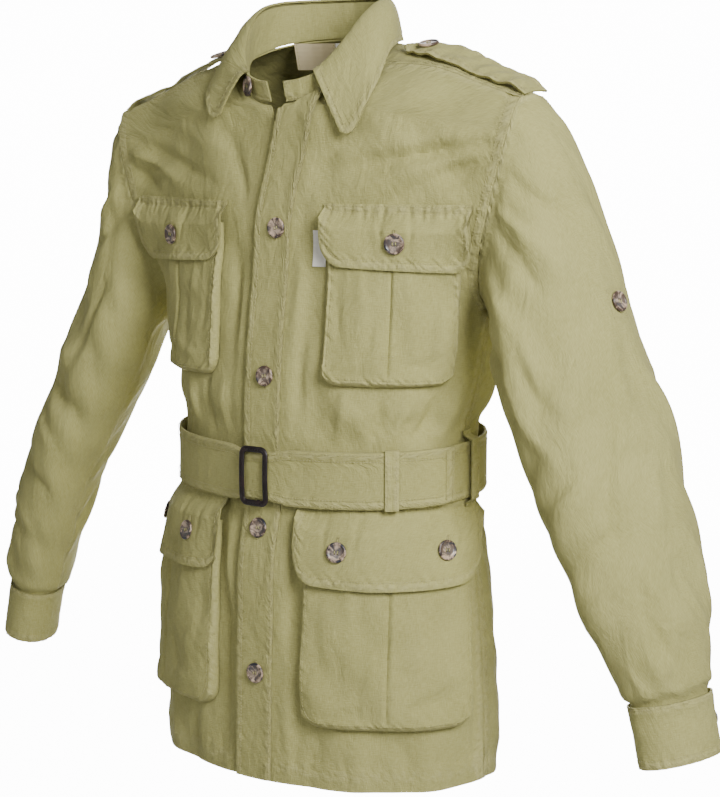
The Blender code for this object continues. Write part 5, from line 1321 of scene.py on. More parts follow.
@dataclass
class Sleeves:
    """The two set-in sleeves, each a tube from the armhole to the cuff, with the roll-up tab's stitched box."""

    pattern: Pattern
    columns: int = 120
    cap_rows: int = 56
    arm_rows: int = 116
    turn: float = math.radians(60)
    # Left sleeve below the armhole: section centre x, y, z, long half axis, short half axis
    sections: Rows = (
        (0.2680, -0.016, -0.295, 0.0780, 0.0490),
        (0.2870, -0.016, -0.345, 0.0775, 0.0500),
        (0.3090, -0.017, -0.400, 0.0750, 0.0465),
        (0.3340, -0.018, -0.460, 0.0720, 0.0425),
        (0.3550, -0.019, -0.515, 0.0660, 0.0390),
        (0.3690, -0.020, -0.560, 0.0545, 0.0355),
        (0.3770, -0.020, -0.588, 0.0470, 0.0340),
        (0.3800, -0.020, -0.600, 0.0440, 0.0325),
        (0.3815, -0.020, -0.6055, 0.0392, 0.0266),
        (0.3825, -0.020, -0.6110, 0.0385, 0.0258),
        (0.3840, -0.020, -0.6180, 0.0385, 0.0258),
    )
    # Largest folds, also in the solids: start round the arm and down it, end, half width, height
    folds: Rows = (
        (0.080, 0.060, 0.120, 0.190, 0.016, -0.0060),
        (0.050, 0.200, 0.130, 0.260, 0.013, -0.0050),
        (0.040, 0.270, 0.140, 0.320, 0.014, 0.0050),
        (0.110, 0.300, 0.190, 0.350, 0.012, -0.0045),
        (0.200, 0.260, 0.260, 0.330, 0.015, 0.0045),
        (0.300, 0.080, 0.330, 0.200, 0.018, -0.0060),
        (0.290, 0.250, 0.340, 0.330, 0.014, -0.0050),
        (0.160, 0.440, 0.170, 0.500, 0.010, -0.0035),
        (0.080, 0.450, 0.085, 0.500, 0.010, 0.0035),
    )
    # Creases of each sleeve: start round the arm and down it, end, half width, height, bow
    left_creases: Rows = (
        (0.040, 0.015, 0.062, 0.120, 0.010, -0.0070, 0.004),
        (0.075, 0.010, 0.098, 0.170, 0.011, 0.0042, 0.004),
        (0.135, 0.010, 0.150, 0.150, 0.007, 0.0030, 0.004),
        (0.118, 0.020, 0.125, 0.130, 0.007, -0.0026, 0.003),
        (0.165, 0.015, 0.175, 0.110, 0.008, -0.0022, 0.003),
        (0.085, 0.120, 0.105, 0.230, 0.008, -0.0030, 0.004),
        (0.070, 0.140, 0.085, 0.250, 0.006, 0.0022, 0.003),
        (0.190, 0.150, 0.175, 0.330, 0.014, 0.0020, 0.006),
        (0.150, 0.260, 0.110, 0.380, 0.012, -0.0022, 0.006),
        (0.060, 0.260, 0.120, 0.300, 0.009, 0.0024, 0.003),
        (0.050, 0.300, 0.110, 0.350, 0.009, -0.0026, 0.004),
        (0.045, 0.350, 0.100, 0.385, 0.008, 0.0022, 0.003),
        (0.190, 0.330, 0.140, 0.420, 0.012, 0.0020, -0.004),
        (0.120, 0.400, 0.130, 0.500, 0.008, 0.0024, 0.003),
        (0.100, 0.430, 0.105, 0.505, 0.006, -0.0022, 0.002),
        (0.150, 0.440, 0.155, 0.505, 0.006, -0.0022, 0.002),
        (0.190, 0.430, 0.185, 0.505, 0.007, 0.0022, 0.002),
        (0.060, 0.440, 0.065, 0.505, 0.006, 0.0020, 0.002),
        (0.230, 0.060, 0.250, 0.220, 0.012, -0.0030, 0.004),
        (0.270, 0.100, 0.290, 0.260, 0.010, 0.0028, 0.004),
        (0.330, 0.220, 0.280, 0.300, 0.010, -0.0030, 0.004),
        (0.340, 0.290, 0.270, 0.350, 0.009, 0.0030, 0.004),
        (0.330, 0.340, 0.260, 0.400, 0.009, -0.0026, 0.003),
        (0.250, 0.420, 0.240, 0.505, 0.007, -0.0024, 0.002),
        (0.290, 0.430, 0.280, 0.505, 0.007, 0.0022, 0.002),
    )
    right_creases: Rows = (
        (0.120, 0.012, 0.140, 0.140, 0.008, -0.0026, 0.003),
        (0.145, 0.010, 0.165, 0.150, 0.008, 0.0028, 0.004),
        (0.090, 0.100, 0.100, 0.240, 0.008, -0.0028, 0.004),
        (0.070, 0.150, 0.130, 0.230, 0.009, 0.0026, 0.004),
        (0.060, 0.210, 0.140, 0.270, 0.009, -0.0030, 0.004),
        (0.060, 0.260, 0.130, 0.300, 0.008, 0.0026, 0.004),
        (0.055, 0.300, 0.130, 0.360, 0.009, -0.0030, 0.004),
        (0.060, 0.370, 0.120, 0.400, 0.008, 0.0024, 0.003),
        (0.100, 0.400, 0.115, 0.500, 0.008, -0.0026, 0.003),
        (0.130, 0.420, 0.140, 0.505, 0.007, 0.0026, 0.003),
        (0.165, 0.420, 0.170, 0.505, 0.007, -0.0022, 0.002),
        (0.200, 0.200, 0.180, 0.360, 0.013, 0.0022, 0.006),
        (0.240, 0.070, 0.255, 0.240, 0.012, -0.0030, 0.004),
        (0.290, 0.110, 0.300, 0.260, 0.010, 0.0028, 0.004),
        (0.330, 0.240, 0.270, 0.310, 0.010, -0.0030, 0.004),
        (0.335, 0.310, 0.270, 0.380, 0.009, 0.0028, 0.004),
        (0.250, 0.430, 0.245, 0.505, 0.007, 0.0024, 0.002),
    )

    def oval(self, centre: Array, down: Array, long_half: float, short_half: float, count: int) -> Array:
        """An oval section across the arm, from its inner side round the front."""
        turn = np.array([math.cos(self.turn), math.sin(self.turn), 0])
        turn = turn - down * (turn @ down)
        turn /= np.linalg.norm(turn)
        across = np.cross(turn, down)
        across *= np.sign(across @ np.array([-math.sin(self.turn), math.cos(self.turn), 0]))
        angle = math.pi + np.arange(count) / count * 2 * math.pi - self.turn
        return centre + long_half * np.cos(angle)[:, None] * turn + short_half * np.sin(angle)[:, None] * across

    def tube(self, sections: Rows, rows: int, count: int) -> tuple[Array, Array]:
        """Ovals along a table of sections, with the arm's direction at each."""
        table = np.array(sections, float)
        keys = np.linalg.norm(np.diff(table[:, :3], axis=0), axis=1)
        dense = dense_rows(table, keys, rows)
        axis = np.gradient(dense[:, :3], axis=0)
        axis /= np.linalg.norm(axis, axis=1, keepdims=True)
        ovals = [self.oval(row[:3], down, row[3], row[4], count) for row, down in zip(dense, axis)]
        return np.stack(ovals), axis

    def shape(self) -> Array:
        """The left sleeve's face with its largest folds: the cap curves from the armhole over to the first oval."""
        seam = self.pattern.armhole(self.columns)
        arm, axis = self.tube(self.sections, self.arm_rows, self.columns)
        top = arm[0]
        lean = np.array([0.36, -0.08, -0.93])
        start = seam + np.array([SEAM_GAP, 0, 0])
        high = np.clip((seam[:, 2] - ARMPIT_Z) / 0.2, 0, 1)[:, None]
        leave = (1 - high) * np.array([0.62, 0, -0.78]) + high * np.array([0.66, 0, -0.75])
        leave = leave - np.clip((-0.015 - seam[:, 1:2]) / 0.04, 0, 1) * high * np.array([0.30, 0, 0])
        leave /= np.linalg.norm(leave, axis=1, keepdims=True)
        reach = np.linalg.norm(top - start, axis=1)[:, None]
        cap = []
        for f in np.linspace(0, 1, self.cap_rows + 1)[:-1]:
            cap.append(
                (2 * f**3 - 3 * f**2 + 1) * start
                + (f**3 - 2 * f**2 + f) * reach * 0.95 * leave
                + (3 * f**2 - 2 * f**3) * top
                + (f**3 - f**2) * reach * 1.05 * (0.5 * axis[0] + 0.5 * lean)
            )
        points = np.concatenate([np.stack(cap), arm])
        around, down = self.lengths(points)
        taper = np.clip((down.max(axis=0) - down) / 0.03, 0, 1) * np.clip(down / 0.02, 0, 1)
        return points + self.normals(points) * (first_folds(self.folds, around, down) * taper)[..., None]

    @staticmethod
    def normals(points: Array) -> Array:
        """Normals of a tube, facing out of the arm."""
        return normals_of(points, points.mean(axis=1, keepdims=True), closed=True)

    @staticmethod
    def lengths(points: Array) -> tuple[Array, Array]:
        """Distance of each point round the arm and down it."""
        return travel(points), travel(np.swapaxes(points, 0, 1)).T

    def build(self, wardrobe: Wardrobe, stitching: Stitching) -> None:
        """Builds both sleeves."""
        shape = self.shape()
        normal = self.normals(shape)
        around, down = self.lengths(shape)
        far = np.clip((ARMPIT_Z - 0.02 - shape[..., 2]) / 0.17, 0, 1)
        taper = ease((down.max(axis=0) - down - 0.012) / 0.03) * ease((down - 0.004) / 0.02)
        for side in Side:
            rows = self.left_creases if side is Side.LEFT else self.right_creases
            height = (1.8 * creased(rows, around, down) + rumpled(around, down, 81 + side.value, 0.065, 0.0016)) * taper
            height = height + pucker(down - 0.002, around, 82, 0.0008, 0.006)
            gathered = np.exp(-(((down.max(axis=0) - down - 0.016) / 0.020) ** 2))
            pleats = 0.55 * np.sin(around / 0.0042) + 0.45 * np.sin(around / 0.0067 + 1)
            height = height + 0.0007 * gathered * pleats * ease((down.max(axis=0) - down - 0.010) / 0.006)
            points = shape + normal * height[..., None]
            out = np.array([RIGHT_ARM_OUT, 0, 0]) if side is Side.RIGHT else np.zeros(3)
            placed = side.turn(points) - out * far[..., None]
            seam = np.clip(closeness(down - 0.002) + closeness(around, 0.006), 0, 1)
            obj = cloth_wall(f"{side.word}_sleeve_twill", placed, side.turn(normal), CLOTH, wardrobe.twill, seam,
                             closed=True)
            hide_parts(f"{side.word}_sleeve")
            group = f"{side.word}_sleeve_stitching"
            for column in (1, 3):
                line = slice(4, -14)
                stitching.row(group, placed[line, column], side.turn(normal)[line, column])
            self.tab_box(side, placed, side.turn(normal), group, stitching)
            log.info("%s sleeve: %d faces", side.word, len(obj.data.polygons))

    def tab_box(self, side: Side, points: Array, normal: Array, group: str, stitching: Stitching) -> None:
        """The square with a cross that holds the roll-up tab inside the sleeve, sewn through round the button."""
        node = f"{side.word}_sleeve_button"
        low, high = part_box(node)
        centre = np.array((low + high) / 2)
        apart = np.linalg.norm(settled(points) - centre, axis=-1)
        row, column = np.unravel_index(np.argmin(apart), apart.shape)
        half = 0.012
        corners = []
        for a, b in ((-1, -1), (1, -1), (1, 1), (-1, 1)):
            corners.append((row + b * half / 0.0036, column + a * half / 0.0034))
        lines = [(corners[k], corners[(k + 1) % 4]) for k in range(4)]
        lines += [(corners[0], corners[2]), (corners[1], corners[3])]
        sheet = Surface.__new__(Surface)
        for start, end in lines:
            f = np.linspace(0, 1, 24)
            v = (start[0] + (end[0] - start[0]) * f) / (points.shape[0] - 1)
            u = (start[1] + (end[1] - start[1]) * f) / (points.shape[1] - 1)
            line = Surface.read(sheet, points, u, v)
            facing = Surface.read(sheet, normal, u, v)
            stitching.row(group, line + facing * 0.0002, facing)


@dataclass
class Cuffs:
    """The two buttoned cuffs, each a double band whose end laps over its start at the back of the wrist."""

    sleeves: Sleeves
    rows: int = 26
    columns: int = 120
    sections: Rows = (
        (0.3825, -0.020, -0.6085, 0.0421, 0.0296),
        (0.3880, -0.020, -0.6340, 0.0415, 0.0290),
        (0.3950, -0.020, -0.6640, 0.0410, 0.0285),
    )
    lap_column: int = 78

    def build(self, wardrobe: Wardrobe, stitching: Stitching) -> None:
        """Builds both cuffs."""
        shape, _ = self.sleeves.tube(self.sections, self.rows, self.columns)
        normal = self.sleeves.normals(shape)
        around, down = self.sleeves.lengths(shape)
        depth = down[-1].mean()
        place = np.arange(self.columns)[None, :] - self.lap_column
        lap = np.where(place <= 0, np.clip(1 + place / 16, 0, 1), 0)
        for side in Side:
            height = 0.0009 * lap + rumpled(around, down, 91 + side.value, 0.035, 0.0004)
            for row in (0.0025, depth - 0.0025, depth - 0.008):
                height = height + pucker(down - row, around, 92, 0.0004)
            points = shape + normal * height[..., None]
            out = np.array([RIGHT_ARM_OUT, 0, 0]) if side is Side.RIGHT else np.zeros(3)
            placed, facing = side.turn(points) - out, side.turn(normal)
            seam = np.clip(closeness(down - 0.0025) + closeness(depth - down - 0.004), 0, 1)
            obj = cloth_wall(f"{side.word}_cuff_twill", placed, facing, DOUBLE_CLOTH, wardrobe.twill, seam, closed=True)
            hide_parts(f"{side.word}_cuff")
            group = f"{side.word}_cuff_stitching"
            for share in (0.0025 / depth, 1 - 0.0025 / depth, 1 - 0.008 / depth):
                row = share * (self.rows - 1)
                j, f = int(row), row - int(row)
                line = placed[j] * (1 - f) + placed[j + 1] * f
                line, up = np.vstack([line, line[:1]]), np.vstack([facing[j], facing[j][:1]])
                stitching.row(group, line + up * 0.0002, up)
            column = self.lap_column - 2
            stitching.row(group, placed[1:-1, column] + facing[1:-1, column] * 0.0002, facing[1:-1, column])
            log.info("%s cuff: %d faces", side.word, len(obj.data.polygons))


@dataclass
class Collar:
    """The stand that follows the neckline, and the leaf that folds down over it to two points."""

    pattern: Pattern
    columns: int = 92
    leaf_starts: int = 14
    right_point_shift: tuple[float, float] = (-0.0120, 0.0160)
    # From a front end to the centre back: foot of the stand x, y, z, fold line x, y, z, edge of the leaf x, y, z
    table: Rows = (
        (0.0075, -0.1000, -0.0775, 0.0100, -0.1025, -0.0560, 0.0100, -0.1040, -0.0700),
        (0.0250, -0.0965, -0.0725, 0.0260, -0.0990, -0.0535, 0.0500, -0.1040, -0.0880),
        (0.0420, -0.0875, -0.0640, 0.0420, -0.0915, -0.0465, 0.0830, -0.1025, -0.1040),
        (0.0570, -0.0725, -0.0520, 0.0575, -0.0755, -0.0250, 0.0985, -0.0950, -0.0790),
        (0.0670, -0.0560, -0.0400, 0.0655, -0.0530, 0.0000, 0.1030, -0.0800, -0.0560),
        (0.0725, -0.0390, -0.0290, 0.0675, -0.0350, 0.0120, 0.0985, -0.0560, -0.0310),
        (0.0700, -0.0110, -0.0205, 0.0640, -0.0110, 0.0190, 0.0860, -0.0200, -0.0190),
        (0.0550, 0.0120, -0.0150, 0.0510, 0.0090, 0.0215, 0.0690, 0.0130, -0.0160),
        (0.0330, 0.0260, -0.0120, 0.0320, 0.0230, 0.0225, 0.0380, 0.0355, -0.0165),
        (0.0000, 0.0315, -0.0110, 0.0000, 0.0300, 0.0230, 0.0000, 0.0420, -0.0165),
    )

    def lines(self) -> Array:
        """Foot, fold and edge of the collar from the left front end round the back to the right one."""
        rows = np.array(self.table, float)
        keys = np.linalg.norm(np.diff(rows[:, :3], axis=0), axis=1)
        dense = dense_rows(rows, keys, self.columns)
        neck = self.pattern.neckline()
        neck = neck[np.argmax(neck[:, 0] > dense[0, 0]) :]
        at = np.linspace(0, travel(neck)[-1], self.columns)
        dense[:, 0:3] = spaced(neck, self.columns)
        dense[:, 2] += 0.0011 + 0.0024 * np.clip(1.25 - at / 0.05, 0, 1)
        right = dense.copy()
        share = np.linspace(0, 1, self.columns)
        right[:, 6] += self.right_point_shift[0] * np.clip(1.6 - 2 * share, 0, 1) * (1 - 0.4 * ease(share / 0.5))
        right[:, 8] += self.right_point_shift[1] * np.clip(1.6 - 1.6 * share / 0.42, 0, 1)
        right = right[-2::-1] * np.array([-1, 1, 1] * 3)
        return np.concatenate([dense, right])

    def build(self, wardrobe: Wardrobe, stitching: Stitching) -> None:
        """Builds the stand and the leaf."""
        lines = self.lines()
        foot, fold = lines[:, 0:3], lines[:, 3:6]
        points = np.stack([foot + (fold - foot) * f for f in np.linspace(0, 1, 16)])
        middle = np.array([0, -0.035, 0]) + points * np.array([0, 0, 1])
        normal = normals_of(points, middle)
        run = travel(points)
        deep = np.linalg.norm(fold - foot, axis=1)[None, :]
        up = np.linspace(0, 1, 16)[:, None] * deep
        points = points + normal * (pucker(up - 0.0022, run, 101, 0.0003))[..., None]
        seam = np.clip(closeness(up - 0.002) + closeness(run - 0.003) + closeness(run[:, -1:] - run - 0.003), 0, 1)
        obj = cloth_wall("collar_stand_twill", points, normal, DOUBLE_CLOTH, wardrobe.twill, seam)
        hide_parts("collar_stand")
        for share in (0.10, 0.93):
            line = foot + (fold - foot) * share
            facing = normals_of(np.stack([foot, line + 1e-6]), middle[:2])[1]
            stitching.row("collar_stitching", line + facing * 0.0004, facing)
        self.build_leaf(lines, wardrobe, stitching)

    def build_leaf(self, lines: Array, wardrobe: Wardrobe, stitching: Stitching) -> None:
        """Builds the leaf, rolled over the top of the stand, with its row of edge stitching."""
        lines = lines[self.leaf_starts : -self.leaf_starts]
        fold, edge = lines[:, 3:6], lines[:, 6:9]
        middle = np.array([0, -0.035, 0]) + fold * np.array([0, 0, 1])
        out = fold - middle
        out /= np.linalg.norm(out, axis=1, keepdims=True)
        up = np.array([0, 0, 1])
        begin = fold + up * 0.0042 - out * 0.0018
        over = fold + up * 0.0062 + out * 0.0090
        fall = edge + (fold - edge) * 0.45 + out * 0.006
        rows = []
        for f in np.linspace(0, 1, 34):
            rows.append((1 - f) ** 3 * begin + 3 * f * (1 - f) ** 2 * over + 3 * f**2 * (1 - f) * fall + f**3 * edge)
        points = np.stack(rows)
        normal = normals_of(points, np.array([0, -0.035, -0.06]) + points * 0)
        down = travel(np.swapaxes(points, 0, 1)).T
        run = travel(points)
        to_edge = down[-1:] - down
        to_end = np.minimum(run, run[:, -1:] - run)
        near = np.minimum(to_edge, to_end)
        height = pucker(near - 0.006, run + down, 111, 0.00035) + rumpled(run, down, 112, 0.045, 0.0005) * ease(down / 0.02)
        points = points + normal * height[..., None]
        obj = cloth_wall("collar_leaf_twill", points, normal, DOUBLE_CLOTH, wardrobe.twill, closeness(near - 0.004))
        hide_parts("collar_leaf")
        grid = Surface.__new__(Surface)
        rows_at, columns_at = points.shape[0] - 1, points.shape[1] - 1
        inset_row = 1 - 0.006 / down[-1].mean()
        u = np.linspace(0.012, 0.988, 320)
        v = inset_row + 0 * u
        edge_u = 0.006 / run[-1, -1]
        track = [(u, v)]
        for end in (edge_u * 1.4, 1 - edge_u * 1.4):
            side_v = np.linspace(0.22, inset_row, 60)
            track.append((end + 0 * side_v, side_v))
        for u, v in track:
            line = Surface.read(grid, points, u, v)
            facing = Surface.read(grid, normal, u, v)
            stitching.row("collar_stitching", line + facing * 0.0003, facing)
        log.info("collar leaf: %d rows by %d columns", rows_at, columns_at)


@dataclass(frozen=True)
class PocketCut:
    """Sizes of one patch pocket and its flap on a front, along the cloth from the centre line and in height."""

    kind: str
    inner: float
    outer: float
    top: float
    bottom: float
    fullness: float
    flap_inner: float
    flap_outer: float
    flap_top: float
    flap_sides: float
    flap_middle: float
    seam_lift: float
    buttons: tuple[float, ...]
    button_z: float


@dataclass
class Pockets:
    """Four patch pockets with bellows sides and a centre pleat, each under a round-cornered buttoned flap."""

    fronts: Fronts
    rows: int = 72
    columns: int = 80
    cuts: tuple[PocketCut, ...] = (
        PocketCut("chest", 0.063, 0.190, -0.190, -0.338, 0.008, 0.058, 0.203, -0.169, -0.226, -0.229, 0.0, (0.131,),
                  -0.2035),
        PocketCut("lower", 0.052, 0.220, -0.479, -0.664, 0.010, 0.041, 0.227, -0.4475, -0.524, -0.529, 0.0014,
                  (0.087, 0.182), -0.4955),
    )
    # Creases of a bag, in shares of its width and depth: start, end, half width, height, bow
    bag_creases: Rows = (
        (0.10, 0.25, 0.16, 0.75, 0.045, -0.0020, 0.02),
        (0.28, 0.15, 0.32, 0.55, 0.050, 0.0016, 0.02),
        (0.40, 0.55, 0.36, 0.95, 0.045, -0.0016, 0.02),
        (0.62, 0.20, 0.68, 0.80, 0.055, 0.0016, 0.02),
        (0.85, 0.30, 0.78, 0.90, 0.045, -0.0020, 0.02),
        (0.15, 0.88, 0.45, 0.80, 0.040, 0.0016, 0.02),
        (0.60, 0.86, 0.90, 0.78, 0.040, -0.0016, 0.02),
    )

    def build(self, wardrobe: Wardrobe, stitching: Stitching) -> None:
        """Builds the pockets and flaps of both fronts."""
        for number, cut in enumerate(self.cuts):
            for side in Side:
                self.build_bag(cut, side, 200 + 10 * number + side.value, wardrobe, stitching)
                self.build_flap(cut, side, 300 + 10 * number + side.value, wardrobe, stitching)
                log.info("%s %s pocket and flap", side.word, cut.kind)

    def build_bag(self, cut: PocketCut, side: Side, seed: int, wardrobe: Wardrobe, stitching: Stitching) -> None:
        """Builds one pocket's bag.

        Args:
            cut: its sizes.
            side: which front it is on.
            seed: which uneven rumples it has.
            wardrobe: the finishes.
            stitching: where its rows of stitching go.
        """
        width, depth = cut.outer - cut.inner, cut.top - cut.bottom
        pleat_half = 0.0035 / width
        across = np.unique(np.concatenate([
            np.linspace(0, 0.05, 9), np.linspace(0.05, 0.47, self.columns // 2 - 14),
            0.5 + pleat_half * np.linspace(-4, 4, 19), np.linspace(0.53, 0.95, self.columns // 2 - 14),
            np.linspace(0.95, 1, 9)]))[None, :]
        down = np.concatenate([np.linspace(0, 0.93, self.rows - 14), np.linspace(0.94, 1, 14)])[:, None]
        round_off = np.clip((abs(across - 0.5) * 2 - 0.74) / 0.26, 0, 1)
        corner = 0.018 / depth * (1 - np.sqrt(np.clip(1 - round_off**2, 0, 1)))
        z = cut.top - depth * down * (1 - corner)
        along = cut.inner + width * across + 0 * down
        side_in = np.clip(np.minimum(across, 1 - across) / 0.030, 0, 1)
        low_in = np.clip((1 - down) / 0.035, 0, 1)
        body = np.minimum(side_in, low_in)
        lift = ON_PANEL + CLOTH + cut.fullness * (0.45 + 0.55 * down) * body**0.6
        lip = 1 / (1 + np.exp(-np.clip((across - 0.5) / pleat_half * 3, -30, 30)))
        closed = np.clip((1 - down) / 0.1, 0, 1) * ease(1 - (down - 0.62) / 0.2)
        pleat = -0.0022 * np.exp(-(((across - 0.5) / 0.012) ** 2)) * np.clip((1 - down) / 0.1, 0, 1)
        pleat = pleat + 0.0011 * (lip - 0.5) * np.exp(-(((across - 0.5) / 0.05) ** 2)) * closed
        edge = np.minimum(np.minimum(across, 1 - across) * width, (1 - down) * depth)
        run = along + z
        height = pucker(edge - 0.0060, run, seed, 0.0005, 0.005)
        height = height + creased(self.bag_creases, across, down + 0 * across) * body
        height = height + rumpled(along, z, seed, 0.045, 0.0005) * body
        s, t = self.fronts.surface.place(along, z)
        points, normal = self.fronts.at(side, s, t, lift + pleat + height)
        seam = np.clip(closeness(edge - 0.003, 0.004), 0, 1)
        name = f"{side.word}_{cut.kind}_pocket"
        obj = cloth_wall(f"{name}_twill", points, normal, CLOTH, wardrobe.twill, seam)
        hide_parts(name)
        self.outline_rows(f"{name}_stitching", points, normal, across, down, width, depth, (0.0070,), stitching)
        middle = np.argmin(abs(across[0] - 0.5))
        bar = np.argmin(abs(down[:, 0] - 0.80))
        for k in range(2):
            line = points[bar + k, middle - 5 : middle + 6] + normal[bar + k, middle - 5 : middle + 6] * 0.0004
            stitching.row(f"{name}_stitching", line, normal[bar + k, middle - 5 : middle + 6])

    @staticmethod
    def outline_rows(group: str, points: Array, normal: Array, across: Array, down: Array, width: float, depth: float,
                     insets: tuple[float, ...], stitching: Stitching) -> None:
        """Rows of stitching that follow a pocket's or a flap's two sides and lower edge.

        Args:
            group: name of the piece of stitching.
            points: grid of points.
            normal: normals of the grid.
            across: share of the width of each column.
            down: share of the depth of each row.
            width: its width.
            depth: its depth.
            insets: distances from the edge.
            stitching: where the rows go.
        """
        grid = Surface.__new__(Surface)
        for inset in insets:
            x_in, y_in, bend = inset / width, inset / depth, 0.012
            path = [(x_in, 0.01 + k * (1 - y_in - bend / depth - 0.01) / 40) for k in range(41)]
            for k in range(1, 12):
                angle = math.pi / 2 * k / 12
                path.append((x_in + bend / width * (1 - math.cos(angle)), 1 - y_in - bend / depth * (1 - math.sin(angle))))
            path += [(x_in + bend / width + (0.5 - x_in - bend / width) * k / 40, 1 - y_in) for k in range(41)]
            half = np.array(path)
            whole = np.concatenate([half, half[-2::-1] * np.array([-1, 1]) + np.array([1, 0])])
            u = np.interp(whole[:, 0], across[0], np.linspace(0, 1, across.shape[1]))
            v = np.interp(whole[:, 1], down[:, 0], np.linspace(0, 1, down.shape[0]))
            line = Surface.read(grid, points, u, v)
            facing = Surface.read(grid, normal, u, v)
            stitching.row(group, line + facing * 0.0002, facing)

    def build_flap(self, cut: PocketCut, side: Side, seed: int, wardrobe: Wardrobe, stitching: Stitching) -> None:
        """Builds one pocket's flap with its buttonholes.

        Args:
            cut: its sizes.
            side: which front it is on.
            seed: which uneven rumples it has.
            wardrobe: the finishes.
            stitching: where its rows of stitching go.
        """
        across = np.linspace(0, 1, 104)[None, :]
        down = np.linspace(0, 1, 46)[:, None]
        far = abs(across - 0.5) * 2
        corner = 0.44 * (1 - np.sqrt(np.clip(1 - (np.clip(far - 0.70, 0, 1) / 0.30) ** 2, 0, 1)))
        bottom = cut.flap_sides + (cut.flap_middle - cut.flap_sides) * (1 - far**2)
        z = cut.flap_top + (bottom - cut.flap_top) * down * (1 - corner)
        width = cut.flap_outer - cut.flap_inner
        depth = cut.flap_top - cut.flap_sides
        along = cut.flap_inner + width * across + 0 * down
        over = (cut.fullness * 0.80 + 0.0026) * np.clip((down - 0.12) / 0.28, 0, 1)
        lift = ON_PANEL + CLOTH + cut.seam_lift + over
        edge = np.minimum(np.minimum(across, 1 - across) * width, (1 - down) * depth * (1 - corner * 0.6))
        body = ease(edge / 0.012) * ease((down - 0.1) / 0.15)
        height = pucker(edge - 0.0078, along + z, seed, 0.0004, 0.0055)
        height = height + pucker(down * depth - 0.007, along, seed + 1, 0.0005, 0.006)
        height = height + rumpled(along, z, seed, 0.040, 0.0006) * body
        for place in cut.buttons:
            for sign in (-1, 1):
                pull = creased(((place + sign * 0.0135, cut.flap_top - 0.006, place + sign * 0.0125, cut.button_z - 0.004,
                                 0.0035, -0.0015, sign * 0.002),), along, z)
                height = height + pull
            near = np.hypot(along - place, z - cut.button_z)
            height = height * (1 - np.exp(-((near / 0.0105) ** 4)))
        s, t = self.fronts.surface.place(along, z)
        points, normal = self.fronts.at(side, s, t, lift + height)
        seam = np.clip(closeness(edge - 0.004) + closeness(down * depth - 0.004), 0, 1)
        name = f"{side.word}_{cut.kind}_flap"
        obj = cloth_wall(f"{name}_twill", points, normal, CLOTH, wardrobe.twill, seam)
        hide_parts(name)
        self.outline_rows(f"{name}_stitching", points, normal, across, down, width, depth, (0.0078,), stitching)
        grid = Surface.__new__(Surface)
        u = np.linspace(0.01, 0.99, 120)
        for inset in (0.0018, 0.0078):
            v = inset / depth + 0 * u
            facing = Surface.read(grid, normal, u, v)
            stitching.row(f"{name}_stitching", Surface.read(grid, points, u, v) + facing * 0.0002, facing)
        for place in cut.buttons:
            u = np.array([(place - cut.flap_inner) / width])
            v = np.array([(cut.flap_top - cut.button_z - 0.002) / (cut.flap_top - cut.flap_middle)])
            centre = Surface.read(grid, points, u, v)[0]
            facing = Surface.read(grid, normal, u, v)[0]
            above = Surface.read(grid, points, u, v - 0.1)[0] - centre
            stitching.buttonhole(f"{name}_stitching", centre + facing * 0.0003, above / np.linalg.norm(above), facing)


